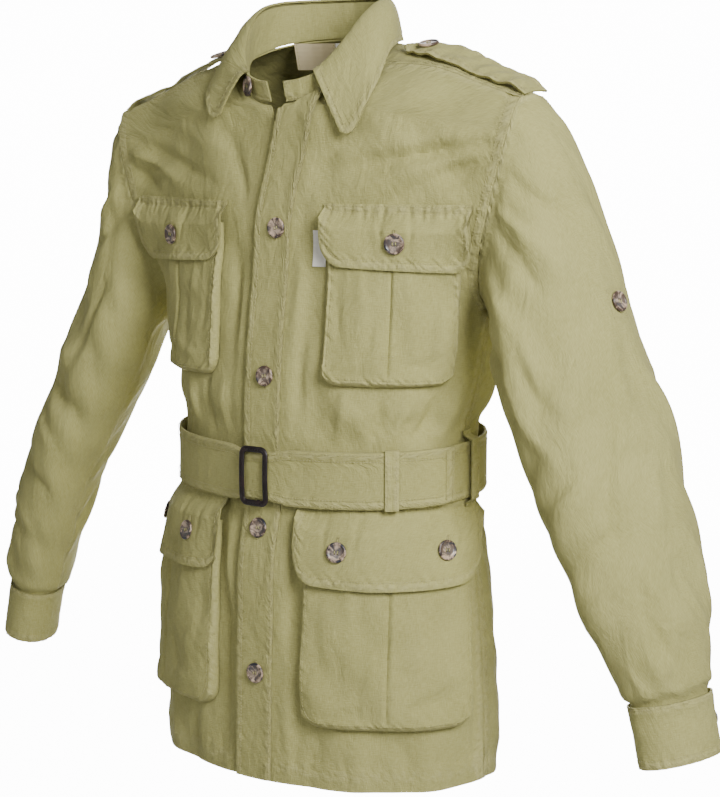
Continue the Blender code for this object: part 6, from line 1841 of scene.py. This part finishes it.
@dataclass
class Belt:
    """The cloth belt from the buckle once round, its free end lapped past the buckle, with keeper and loops."""

    pattern: Pattern
    height: float = 0.054
    at_buckle: float = 0.046
    cloth: float = 0.0018
    tail_at: float = 0.188
    keeper_at: float = 0.130
    ring: Array = field(init=False)

    def __post_init__(self) -> None:
        """Finds the line round the waist."""
        self.ring = self.pattern.waist_ring()

    @property
    def total(self) -> float:
        """Length of the line round the waist."""
        return float(travel(self.ring)[-1])

    def on_ring(self, at: Array, lift: Array | float, up: Array | float) -> tuple[Array, Array]:
        """Points and normals at distances round the ring, moved out by lift and up by heights over the belt's middle."""
        at, lift, up = np.broadcast_arrays(np.asarray(at, float), lift, up)
        length = travel(self.ring)
        total = length[-1]

        def read(where: Array) -> Array:
            """Points of the ring."""
            return np.stack([np.interp(where % total, length, self.ring[:, axis]) for axis in range(3)], axis=-1)

        tangent = read(at + 0.004) - read(at - 0.004)
        tangent[..., 2] = 0
        tangent /= np.linalg.norm(tangent, axis=-1, keepdims=True)
        normal = np.stack([tangent[..., 1], -tangent[..., 0], 0 * at], axis=-1)
        spot = read(at)
        points = spot + normal * lift[..., None]
        points[..., 2] = WAIST_Z + 0.060 * (spot[..., 1] + 0.01) + up
        return points, normal

    def lift(self, at: Array) -> Array:
        """The belt starts on the buckle's middle bar, goes once round and laps over its own start."""
        total = self.total
        under = 0.0064 + self.cloth
        over = under + 0.0004 + self.cloth
        lap = ease((np.asarray(at) - (total - 0.062)) / 0.05)
        near = np.exp(-(((at - total) / 0.022) ** 2)) * 0.0032
        return under + (over + 0.0004 - under) * lap + near

    def build(self, wardrobe: Wardrobe, stitching: Stitching) -> None:
        """Builds the belt, its keeper and its loops."""
        total = self.total
        end = total + self.tail_at
        at = np.concatenate([np.arange(-0.003, end - 0.014, 0.0042), np.linspace(end - 0.014, end, 12)])[None, :]
        rows = np.array([-1, -0.985, -0.95, -0.88, -0.80, -0.72, -0.62, -0.48, -0.32, -0.16, 0])
        rows = np.concatenate([rows, -rows[-2::-1]])[:, None]
        squeeze = np.exp(-((((at + total / 2) % total - total / 2) / 0.026) ** 4))
        half = (self.height - (self.height - self.at_buckle) * squeeze) / 2
        tail = np.clip((at - (end - 0.011)) / 0.011, 0, 1)
        half_low = half - 0.011 * (1 - np.sqrt(np.clip(1 - tail**2, 0, 1))) * 0.9
        up = np.where(rows < 0, half_low, half) * rows
        inset = half - abs(up)
        height = pucker(inset - 0.008, at, 121, 0.00035, 0.006) + pucker(end - at - 0.008, up, 122, 0.0004)
        wave = rumpled(at, up, 123, 0.070, 0.0007) * (1 - squeeze)
        height = height + wave * ease((at - 0.03) / 0.03) * ease((total - 0.08 - at) / 0.04)
        height = height - 0.0005 * ease(1 - inset / 0.0015)
        points, normal = self.on_ring(at, self.lift(at) + height, up)
        seam = np.clip(closeness(inset - 0.004) + closeness(end - at - 0.004), 0, 1)
        obj = cloth_wall("belt_twill", points, normal, self.cloth, wardrobe.twill, seam)
        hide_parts("belt")
        run = np.arange(0.02, end - 0.003, 0.003)
        pinch = np.exp(-((((run + total / 2) % total - total / 2) / 0.026) ** 4))
        half = (self.height - (self.height - self.at_buckle) * pinch) / 2
        for inset_by in (0.0022, 0.0085):
            for sign in (-1, 1):
                shown = run < end - inset_by
                stitching.row("belt_stitching", *self.on_ring(run[shown], self.lift(run[shown]) + 0.0003,
                                                             sign * (half[shown] - inset_by)))
        rise = np.linspace(-self.height / 2 + 0.004, self.height / 2 - 0.003, 40)
        for inset_by in (0.0022, 0.0085):
            spot = np.full(len(rise), end - inset_by)
            stitching.row("belt_stitching", *self.on_ring(spot, self.lift(spot) + 0.0003, rise))
        self.build_keeper(wardrobe, stitching)
        quarter = float(travel(self.ring)[59])
        for name, where, foot in (("left_belt_loop", quarter, 0.0042), ("right_belt_loop", total - quarter, 0.0042),
                                  ("back_belt_loop", total / 2, 0.0010)):
            self.build_loop(name, where, foot, wardrobe, stitching)
        log.info("belt: %d faces", len(obj.data.polygons))

    def build_keeper(self, wardrobe: Wardrobe, stitching: Stitching) -> None:
        """The cloth loop round the belt that holds the lapping end."""
        half = self.height / 2
        inner = 0.0054
        outer = float(self.lift(np.array([self.total + self.keeper_at]))[0]) + 0.0010
        thick, bend = 0.0012, 0.0012
        track = []
        corners = ((outer, -half, 0), (outer, half, 90), (inner, half, 180), (inner, -half, 270))
        for lift, up, first in ((outer, half, 0), (inner, half, 90), (inner, -half, 180), (outer, -half, 270)):
            for k in range(6):
                angle = math.radians(first + 90 * k / 5)
                track.append((lift + (bend * math.cos(angle)), up + math.copysign(0.0006, up) + bend * math.sin(angle)))
        track = np.array(track)
        dense = []
        for k in range(len(track)):
            a, b = track[k], track[(k + 1) % len(track)]
            steps = max(int(np.linalg.norm(b - a) / 0.003), 1)
            dense += [a + (b - a) * f for f in np.arange(steps) / steps]
        track = np.array(dense)
        places = np.linspace(-0.006, 0.006, 9)
        bulge = 0.0003 * (1 - (places / 0.006) ** 4)
        sheets = []
        centre = track.mean(axis=0)
        away = np.sign(track - centre)
        for depth in (0.0, thick):
            rows = []
            for place, rise in zip(places, bulge):
                lift = track[:, 0] + np.where(abs(track[:, 0] - centre[0]) > (outer - inner) / 2 - 1e-4, away[:, 0], 0) * (
                    rise - depth)
                up = track[:, 1] - away[:, 1] * np.where(abs(track[:, 1]) > half, depth, 0)
                points, _ = self.on_ring(np.full(len(track), self.keeper_at + place), lift, up)
                rows.append(points)
            sheets.append(np.stack(rows))
        outer_grid, inner_grid = sheets
        normal = outer_grid - inner_grid
        deep = np.maximum(np.linalg.norm(normal, axis=-1, keepdims=True), 1e-9)
        obj = cloth_wall("belt_keeper_twill", outer_grid, normal / deep, thick * 0.9, wardrobe.twill,
                         closeness(0.004 - abs(places))[:, None] + 0 * outer_grid[..., 0], closed=True)
        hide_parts("belt_keeper")
        rise = np.linspace(-half + 0.002, half - 0.002, 30)
        for place in (-0.0038, 0.0038):
            stitching.row("belt_stitching", *self.on_ring(np.full(30, self.keeper_at + place), outer + bend + 0.0003, rise))
        del corners

    def build_loop(self, name: str, where: float, foot: float, wardrobe: Wardrobe, stitching: Stitching) -> None:
        """A strip sewn above and below the belt that stands over it.

        Args:
            name: the node's name.
            where: distance round the waist.
            foot: how far its lower foot stands off the panel.
            wardrobe: the finishes.
            stitching: where its rows of stitching go.
        """
        cloth = 0.0013
        lap = where if where > 0.25 else where + self.total
        outer = float(self.lift(np.array([lap]))[0]) + 0.0008 + cloth
        half = self.height / 2
        flat = cloth + ON_PANEL
        profile = np.array([
            (flat + 0.0010, half + 0.010), (flat + 0.0010, half + 0.006), (outer, half + 0.0022), (outer, 0.0),
            (outer, -half - 0.0022), (flat + foot, -half - 0.0055), (flat + foot, -half - 0.009)])
        distance = np.concatenate([[0], np.cumsum(np.linalg.norm(np.diff(profile, axis=0), axis=1))])
        steps = np.linspace(0, distance[-1], 60)
        lift = np.interp(steps, distance, profile[:, 0])[:, None]
        up = np.interp(steps, distance, profile[:, 1])[:, None]
        place = np.linspace(-0.006, 0.006, 9)[None, :]
        height = 0.0002 * (1 - (place / 0.006) ** 4) + pucker(abs(place) - 0.004, steps[:, None], 131, 0.0002, 0.002)
        points, normal = self.on_ring(where + place + 0 * up, lift + height, up + 0 * place)
        facing = normals_of(points, points * np.array([0, 0, 1]))
        obj = cloth_wall(f"{name}_twill", points, facing, cloth, wardrobe.twill, closeness(0.004 - abs(place)) + 0 * up)
        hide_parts(name)
        for column in (1, 7):
            line = points[2:-2, column] + normal[2:-2, column] * 0.0002
            stitching.row("belt_stitching", line, normal[2:-2, column])


@dataclass
class Buckle:
    """A rounded frame covered in leather, its middle bar behind the lapping end."""

    belt: Belt
    width: float = 0.034
    height: float = 0.058
    bar: float = 0.0060
    corner: float = 0.0055
    depth: float = 0.0034
    middle_bar: float = 0.0088

    def build(self, wardrobe: Wardrobe) -> None:
        """Builds the frame, the middle bar and the saddle stitches along the covering's seam."""
        total = self.belt.total
        lift = float(self.belt.lift(np.array([total]))[0])
        spot, normal = self.belt.on_ring(np.array([0.0]), lift, 0.0)
        centre, out = spot[0], normal[0]
        half_width, half_height, bar = self.width / 2, self.height / 2, self.bar / 2
        track = []
        for cx, cz, first in ((1, 1, 0), (-1, 1, 90), (-1, -1, 180), (1, -1, 270)):
            for k in range(9):
                angle = math.radians(first + 90 * k / 8)
                track.append((cx * (half_width - bar - self.corner) + self.corner * math.cos(angle),
                              cz * (half_height - bar - self.corner) + self.corner * math.sin(angle),
                              math.cos(angle), math.sin(angle)))
        dense = []
        for k, (x, z, nx, nz) in enumerate(track):
            x2, z2, nx2, nz2 = track[(k + 1) % len(track)]
            steps = max(int(math.hypot(x2 - x, z2 - z) / 0.0016), 1)
            for f in np.arange(steps) / steps:
                dense.append((x + (x2 - x) * f, z + (z2 - z) * f, nx + (nx2 - nx) * f, nz + (nz2 - nz) * f))
        sides = 18
        points = []
        for x, z, nx, nz in dense:
            bow = 0.0016 * (1 - (z / half_height) ** 2)
            for k in range(sides):
                angle = 2 * math.pi * k / sides
                outwards, front = bar * math.cos(angle), self.depth / 2 * math.sin(angle)
                points.append((x + nx * outwards, -front - bow, z + nz * outwards))
        count = len(dense)
        j, k = np.arange(count)[:, None], np.arange(sides)[None, :]
        j2, k2 = (j + 1) % count, (k + 1) % sides
        faces = np.stack(np.broadcast_arrays(j * sides + k, j * sides + k2, j2 * sides + k2, j2 * sides + k), axis=-1)
        base = centre + out * (self.depth / 2 + 0.0006)
        all_points, all_faces = np.array(points) + base, faces.reshape(-1, 4)
        bar_points, bar_faces = self.middle(centre, out, lift)
        mesh = bpy.data.meshes.new("buckle_leather")
        mesh.from_pydata(settled(np.concatenate([all_points, bar_points])).tolist(), [],
                         all_faces.tolist() + (bar_faces + len(all_points)).tolist())
        outward(mesh)
        obj = finish_object("buckle_leather", mesh, wardrobe.leather)
        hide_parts("buckle")
        self.saddle_stitches(dense, base, wardrobe)
        log.info("buckle: %d faces", len(mesh.polygons))

    def middle(self, centre: Array, out: Array, lift: float) -> tuple[Array, Array]:
        """The middle bar: a rod behind the belt's lapping end that turns forward into the frame at both ends."""
        back = self.middle_bar - lift + 0.0012
        front = self.depth / 2
        tall = self.height / 2 - self.bar / 2
        spine = [(front, tall), (back + 0.0012, tall + 0.0004), (back, tall - 0.0012), (back, 0.0), (back, 0.0012 - tall),
                 (back + 0.0012, -tall - 0.0004), (front, -tall)]
        line = np.array([centre + out * lift_by + np.array([0, 0, up]) for lift_by, up in spine])
        sides = 10
        across = np.array([1.0, 0, 0])
        points = []
        for k, spot in enumerate(line):
            ahead = line[min(k + 1, len(line) - 1)] - line[max(k - 1, 0)]
            ahead /= np.linalg.norm(ahead)
            third = np.cross(ahead, across)
            for angle in 2 * math.pi * np.arange(sides) / sides:
                points.append(spot + across * 0.0018 * math.cos(angle) + third * 0.0011 * math.sin(angle))
        faces = []
        for j in range(len(line) - 1):
            for k in range(sides):
                k2 = (k + 1) % sides
                faces.append((j * sides + k, j * sides + k2, (j + 1) * sides + k2, (j + 1) * sides + k))
        return np.array(points), np.array(faces)

    def saddle_stitches(self, track: list, base: Array, wardrobe: Wardrobe) -> None:
        """A row of dark stitches along the front of the frame."""
        rows = Stitching()
        line, facing = [], []
        for x, z, _, _ in track + track[:1]:
            bow = 0.0016 * (1 - (z / (self.height / 2)) ** 2)
            line.append(base + np.array([x, -self.depth / 2 - bow + 0.00005, z]))
            facing.append((0, -1, 0))
        rows.row("buckle_stitching", np.array(line), np.array(facing, float))
        rows.build(wardrobe.leather)


@dataclass
class Epaulettes:
    """A strap on each shoulder from the sleeve seam to a point beside the collar, leaning a little forward."""

    cloth: float = 0.0020
    bow: float = 0.0020
    # Left strap, from the sleeve seam to its point: distance from the centre, y, height, half width, slope to the back
    table: Rows = (
        (0.2380, -0.0230, -0.0648, 0.0205, 0.08),
        (0.2250, -0.0230, -0.0552, 0.0205, 0.14),
        (0.2050, -0.0240, -0.0485, 0.0205, 0.20),
        (0.1850, -0.0250, -0.0415, 0.0205, 0.25),
        (0.1650, -0.0260, -0.0330, 0.0200, 0.30),
        (0.1450, -0.0270, -0.0260, 0.0200, 0.30),
        (0.1250, -0.0280, -0.0225, 0.0195, 0.30),
        (0.1100, -0.0280, -0.0220, 0.0150, 0.30),
        (0.1000, -0.0280, -0.0220, 0.0040, 0.30),
    )

    def build(self, wardrobe: Wardrobe, stitching: Stitching) -> None:
        """Builds both straps."""
        table = np.array(self.table, float)
        keys = np.linalg.norm(np.diff(table[:, :3], axis=0), axis=1)
        knots = np.concatenate([[0], np.cumsum(keys)])
        rows = smooth(knots, table, np.linspace(0, knots[-1], 84))
        widths = np.interp(np.linspace(0, knots[-1], 84), knots, table[:, 3])
        across = np.linspace(-1, 1, 27)[None, :]
        half, slope = widths[:, None], rows[:, 4:5]
        points = rows[:, None, 0:3] + (across * half)[..., None] * np.array([0, 1, 0])
        points[..., 2] += across * half * slope - self.bow * (across * half / 0.0205) ** 2
        normal = normals_of(points, points - np.array([0, 0, 1]))
        run = travel(np.swapaxes(points, 0, 1)).T
        inset = np.minimum((1 - abs(across)) * half, (run[-1:] - run) + 0 * across)
        for side in Side:
            height = pucker(inset - 0.0055, run, 141 + side.value, 0.0004, 0.005)
            height = height + rumpled(run, across * half, 143 + side.value, 0.024, 0.0011) * ease(run / 0.02)
            raised = points + normal * height[..., None]
            placed, facing = side.turn(raised), side.turn(normal)
            obj = cloth_wall(f"{side.word}_epaulette_twill", placed, facing, self.cloth, wardrobe.twill,
                             closeness(inset - 0.003))
            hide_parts(f"{side.word}_epaulette")
            grid = Surface.__new__(Surface)
            v = np.linspace(0.02, 0.95, 160)
            wide = np.interp(v, np.linspace(0, 1, 84), widths)
            for sign in (-1, 1):
                u = 0.5 + sign * 0.5 * np.clip(1 - 0.0055 / wide, 0.02, 1)
                up = Surface.read(grid, facing, u, v)
                stitching.row("epaulette_stitching", Surface.read(grid, placed, u, v) + up * 0.0002, up)
            u = np.linspace(0.12, 0.88, 30)
            for share in (0.03, 0.17):
                up = Surface.read(grid, facing, u, share + 0 * u)
                stitching.row("epaulette_stitching", Surface.read(grid, placed, u, share + 0 * u) + up * 0.0002, up)
            log.info("%s epaulette: %d faces", side.word, len(obj.data.polygons))


@dataclass
class Buttons:
    """Four-hole buttons with a rim and a dished middle, sewn with two bars of thread. All share one mesh."""

    radius: float = 0.0098
    thick: float = 0.0030
    hole: float = 0.00085
    hole_at: float = 0.00145
    # Profile from the middle of the back to the middle of the face: radius and height, in mm
    profile: Rows = (
        (0.0, 0.0), (8.4, 0.0), (9.3, 0.35), (9.8, 1.1), (9.8, 1.9), (9.45, 2.55), (8.8, 2.95), (8.1, 2.95),
        (7.5, 2.60), (7.1, 2.20), (5.5, 1.95), (3.0, 1.85), (0.0, 1.82),
    )

    def mesh(self, wardrobe: Wardrobe) -> bpy.types.Mesh:
        """The shared mesh: a turned disc with four drilled holes, and the thread through them."""
        sides = 56
        shape = bmesh.new()
        rings = []
        for radius, height in self.profile:
            if radius == 0:
                rings.append([shape.verts.new((0, 0, height / 1000))])
                continue
            ring = []
            for k in range(sides):
                angle = 2 * math.pi * k / sides
                ring.append(shape.verts.new((radius / 1000 * math.cos(angle), radius / 1000 * math.sin(angle),
                                             height / 1000)))
            rings.append(ring)
        for low, high in zip(rings, rings[1:]):
            for k in range(sides):
                corners = {low[k % len(low)]: 0, low[(k + 1) % len(low)]: 0, high[(k + 1) % len(high)]: 0,
                           high[k % len(high)]: 0}
                shape.faces.new(list(corners))
        bmesh.ops.recalc_face_normals(shape, faces=shape.faces)
        mesh = bpy.data.meshes.new("button_disc")
        shape.to_mesh(mesh)
        shape.free()
        disc = bpy.data.objects.new("button_disc", mesh)
        bpy.context.scene.collection.objects.link(disc)
        drills = bmesh.new()
        for x in (-1, 1):
            for y in (-1, 1):
                place = Matrix.Translation((x * self.hole_at, y * self.hole_at, 0.0015))
                bmesh.ops.create_cone(drills, cap_ends=True, segments=16, radius1=self.hole, radius2=self.hole,
                                      depth=0.006, matrix=place)
        drill_mesh = bpy.data.meshes.new("button_drills")
        drills.to_mesh(drill_mesh)
        drills.free()
        drill = bpy.data.objects.new("button_drills", drill_mesh)
        bpy.context.scene.collection.objects.link(drill)
        cut = disc.modifiers.new("holes", "BOOLEAN")
        cut.operation = "DIFFERENCE"
        cut.object = drill
        bpy.context.view_layer.update()
        graph = bpy.context.evaluated_depsgraph_get()
        drilled = bpy.data.meshes.new_from_object(disc.evaluated_get(graph))
        for obj in (disc, drill):
            bpy.data.objects.remove(obj, do_unlink=True)
        drilled.name = "four_hole_button"
        drilled.materials.clear()
        drilled.materials.append(wardrobe.horn)
        drilled.materials.append(wardrobe.thread)
        self.add_thread(drilled)
        drilled.polygons.foreach_set("use_smooth", [True] * len(drilled.polygons))
        drilled.set_sharp_from_angle(angle=math.radians(40))
        return drilled

    def add_thread(self, mesh: bpy.types.Mesh) -> None:
        """Adds two bars of thread that dip into the holes."""
        shape = bmesh.new()
        shape.from_mesh(mesh)
        sides, steps, gauge = 6, 11, 0.00042
        for x in (-self.hole_at, self.hole_at):
            rings = []
            for j in range(steps):
                f = j / (steps - 1)
                y = (f * 2 - 1) * self.hole_at * 1.12
                z = 0.0023 - 0.0016 * abs(f * 2 - 1) ** 6
                ring = []
                for k in range(sides):
                    angle = 2 * math.pi * k / sides
                    ring.append(shape.verts.new((x + 1.2 * gauge * math.cos(angle), y, z + gauge * math.sin(angle))))
                rings.append(ring)
            for low, high in zip(rings, rings[1:]):
                for k in range(sides):
                    face = shape.faces.new((low[k], low[(k + 1) % sides], high[(k + 1) % sides], high[k]))
                    face.material_index = 1
        shape.to_mesh(mesh)
        shape.free()

    @staticmethod
    def facing(name: str, centre: Array, axis: Array) -> Array:
        """The button's axis, turned away from the cloth that it is sewn to."""
        side = name.split("_")[0]
        if "epaulette" in name:
            away = np.array([0, 0, 1.0])
        elif "cuff" in name or "sleeve" in name:
            low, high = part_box(f"{side}_cuff" if "cuff" in name else f"{side}_sleeve")
            away = centre - np.array((low + high) / 2)
            if "sleeve" in name:
                away = np.array([1.0 if side == "left" else -1.0, 0, 0.2])
            away[2] = 0
        elif name == "collar_button":
            away = centre - np.array([0, -0.035, centre[2]])
        else:
            away = centre - np.array([0, -0.01, centre[2]])
        return axis * np.sign(axis @ away)

    def build(self, nodes: dict, wardrobe: Wardrobe) -> None:
        """Puts a button at each of the frame's button nodes, on that node's own axis."""
        shared = self.mesh(wardrobe)
        names = [name for name in sorted(nodes) if "button" in name]
        for number, name in enumerate(names):
            corners = np.array([v.co for v in nodes[name].data.vertices], float)
            centre = (corners.min(axis=0) + corners.max(axis=0)) / 2
            centre = corners.mean(axis=0) if np.linalg.norm(corners.mean(axis=0) - centre) < 0.002 else centre
            _, _, axes = np.linalg.svd(corners - corners.mean(axis=0))
            facing = self.facing(name, centre, axes[2])
            up = np.array([0, 0, 1.0]) if abs(facing[2]) < 0.8 else np.array([0, -1.0, 0])
            side = np.cross(up, facing)
            side /= np.linalg.norm(side)
            turn = math.radians((37 * number) % 40 - 20)
            top = np.cross(facing, side)
            across = side * math.cos(turn) + top * math.sin(turn)
            along = np.cross(facing, across)
            matrix = Matrix([list(map(float, row)) for row in np.stack([across, along, facing], axis=1)]).to_4x4()
            matrix.translation = Vector(map(float, centre - facing * self.thick / 2))
            obj = bpy.data.objects.new(f"{name}_horn", shared)
            bpy.context.scene.collection.objects.link(obj)
            obj.matrix_world = matrix
            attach(obj, "root")
            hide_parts(name)
        log.info("%d buttons", len(names))


@dataclass
class Labels:
    """The neck label, the care label beside it and the tab at the left chest pocket, all bare."""

    fronts: Fronts
    # Name, left and right edge, top and bottom
    neck: tuple = (("neck_label", -0.058, -0.022, -0.0165, -0.0425), ("care_label", -0.0212, -0.0082, -0.0165, -0.0285))
    # Line that the neck labels hang from: distance from the centre line, y
    neck_line: Rows = ((0.0, 0.0275), (0.019, 0.0262), (0.036, 0.0229), (0.046, 0.0182), (0.052, 0.0128),
                       (0.058, 0.0063))
    tab: tuple[float, float, float, float] = (0.0465, 0.0600, -0.194, -0.228)

    def build(self, wardrobe: Wardrobe, stitching: Stitching) -> None:
        """Builds the three labels."""
        for name, x0, x1, top, bottom in self.neck:
            x = np.linspace(x0, x1, 24)[None, :]
            z = np.linspace(top, bottom, 16)[:, None]
            y = np.interp(abs(x), *np.transpose(self.neck_line)) + (top - z) * 0.25
            y = y + 0.0002 * np.sin(x * 300) * (top - z) / 0.02
            points = np.stack(np.broadcast_arrays(x, y, z), axis=-1)
            normal = normals_of(points, points + np.array([0, 1, 0]))
            finish = wardrobe.neck_label if name == "neck_label" else wardrobe.white_label
            obj = cloth_wall(f"{name}_woven", points, normal, LABEL_CLOTH, finish)
            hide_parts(name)
            if name == "neck_label":
                for column in (1, -2):
                    stitching.row("label_stitching", points[:, column] + normal[:, column] * 0.0001, normal[:, column])
        inner, outer, top, bottom = self.tab
        z = np.linspace(top, bottom, 24)[:, None]
        along = np.linspace(inner, outer, 10)[None, :]
        s, t = self.fronts.surface.place(along, z)
        lift = ON_PANEL + LABEL_CLOTH + self.fronts.overlap(self.fronts.surface.at(s, t)[..., 0])
        curl = 0.0012 * ease((outer - along) / 0.014) * ease(0.5 + 0.5 * np.sin((z - top) * 90))
        points, normal = self.fronts.at(Side.LEFT, s, t, lift + curl)
        obj = cloth_wall("pocket_label_woven", points, normal, LABEL_CLOTH, wardrobe.white_label)
        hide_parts("pocket_label")
        log.info("labels")


@dataclass
class Studio:
    """A plain pale floor and backdrop, soft studio light, and the camera at the photograph's angle."""

    azimuth: float = 35.0
    elevation: float = 8.1
    distance: float = 2.0
    focal_px: float = 1991.0
    target: tuple[float, float, float] = (0.022 * math.cos(math.radians(35)), 0.022 * math.sin(math.radians(35)), -0.369)
    floor_z: float = -1.45

    def build(self) -> None:
        """Builds the floor, the lights and the camera."""
        self.build_floor()
        self.build_camera()
        for name, place, size, power in (
            ("key_softbox", (1.42, -0.78, 0.45), 0.7, 47.0),
            ("front_softbox", (0.3, -2.3, 0.60), 0.9, 9.0),
            ("back_softbox", (-0.9, 2.3, 0.9), 1.4, 40.0),
        ):
            self.add_softbox(name, place, size, power)
        world = bpy.data.worlds.new("studio_air")
        world.use_nodes = True
        sky = world.node_tree.nodes["Background"]
        sky.inputs["Color"].default_value = linear("#FFFFFF")
        sky.inputs["Strength"].default_value = 0.24
        bpy.context.scene.world = world
        log.info("studio")

    def build_floor(self) -> None:
        """A floor that curves up into a backdrop far behind the jacket, all round."""
        rings = [(0.0, 0.0), (1.5, 0.0), (3.0, 0.0), (5.0, 0.0), (6.0, 0.12), (6.7, 0.6), (7.0, 1.4), (7.0, 3.2)]
        points, faces = [], []
        sides = 64
        for radius, height in rings:
            for k in range(sides):
                angle = 2 * math.pi * k / sides
                points.append((radius * math.cos(angle), radius * math.sin(angle), self.floor_z + height))
        for j in range(len(rings) - 1):
            for k in range(sides):
                k2 = (k + 1) % sides
                faces.append((j * sides + k, j * sides + k2, (j + 1) * sides + k2, (j + 1) * sides + k))
        mesh = bpy.data.meshes.new("studio_floor")
        mesh.from_pydata(points, [], faces)
        mesh.polygons.foreach_set("use_smooth", [True] * len(mesh.polygons))
        mesh.materials.append(OpalAcrylic(azimuth=self.azimuth, distance=self.distance).make())
        floor = bpy.data.objects.new("studio_floor", mesh)
        bpy.context.scene.collection.objects.link(floor)

    @staticmethod
    def add_softbox(name: str, place: tuple[float, float, float], size: float, power: float) -> None:
        """A square soft light turned to the middle of the jacket."""
        lamp = bpy.data.lights.new(name, "AREA")
        lamp.shape = "SQUARE"
        lamp.size = size
        lamp.energy = power
        obj = bpy.data.objects.new(name, lamp)
        obj.location = place
        toward = Vector((0, 0, -0.36)) - Vector(place)
        obj.rotation_euler = toward.to_track_quat("-Z", "Y").to_euler()
        bpy.context.scene.collection.objects.link(obj)

    def build_camera(self) -> None:
        """The camera at the photograph's angle, its lens worked out for a 720 by 797 picture."""
        data = bpy.data.cameras.new("photo_camera")
        data.sensor_fit = "AUTO"
        data.sensor_width = 36.0
        data.lens = self.focal_px / max(PHOTO_WIDTH, PHOTO_HEIGHT) * 36.0
        camera = bpy.data.objects.new("photo_camera", data)
        a, e = math.radians(self.azimuth), math.radians(self.elevation)
        back = Vector((math.sin(a) * math.cos(e), -math.cos(a) * math.cos(e), math.sin(e)))
        camera.location = Vector(self.target) + back * self.distance
        camera.rotation_euler = (-back).to_track_quat("-Z", "Y").to_euler()
        bpy.context.scene.collection.objects.link(camera)
        bpy.context.scene.camera = camera


def main() -> None:
    """Builds the jacket's sub-assemblies in order, then the studio."""
    logging.basicConfig(level=logging.INFO, format="%(name)s: %(message)s")
    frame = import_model()
    wardrobe, stitching = Wardrobe(), Stitching()
    pattern = Pattern()
    fronts = Fronts(pattern)
    sleeves = Sleeves(pattern)
    belt = Belt(pattern)
    for part in (fronts, Placket(fronts), Back(pattern), Yoke(pattern), sleeves, Cuffs(sleeves), Collar(pattern),
                 Pockets(fronts), belt, Epaulettes(), Labels(fronts)):
        part.build(wardrobe, stitching)
    Buckle(belt).build(wardrobe)
    Buttons().build(frame["nodes"], wardrobe)
    stitching.build(wardrobe.thread)
    Studio().build()


if __name__ == "__main__":
    main()
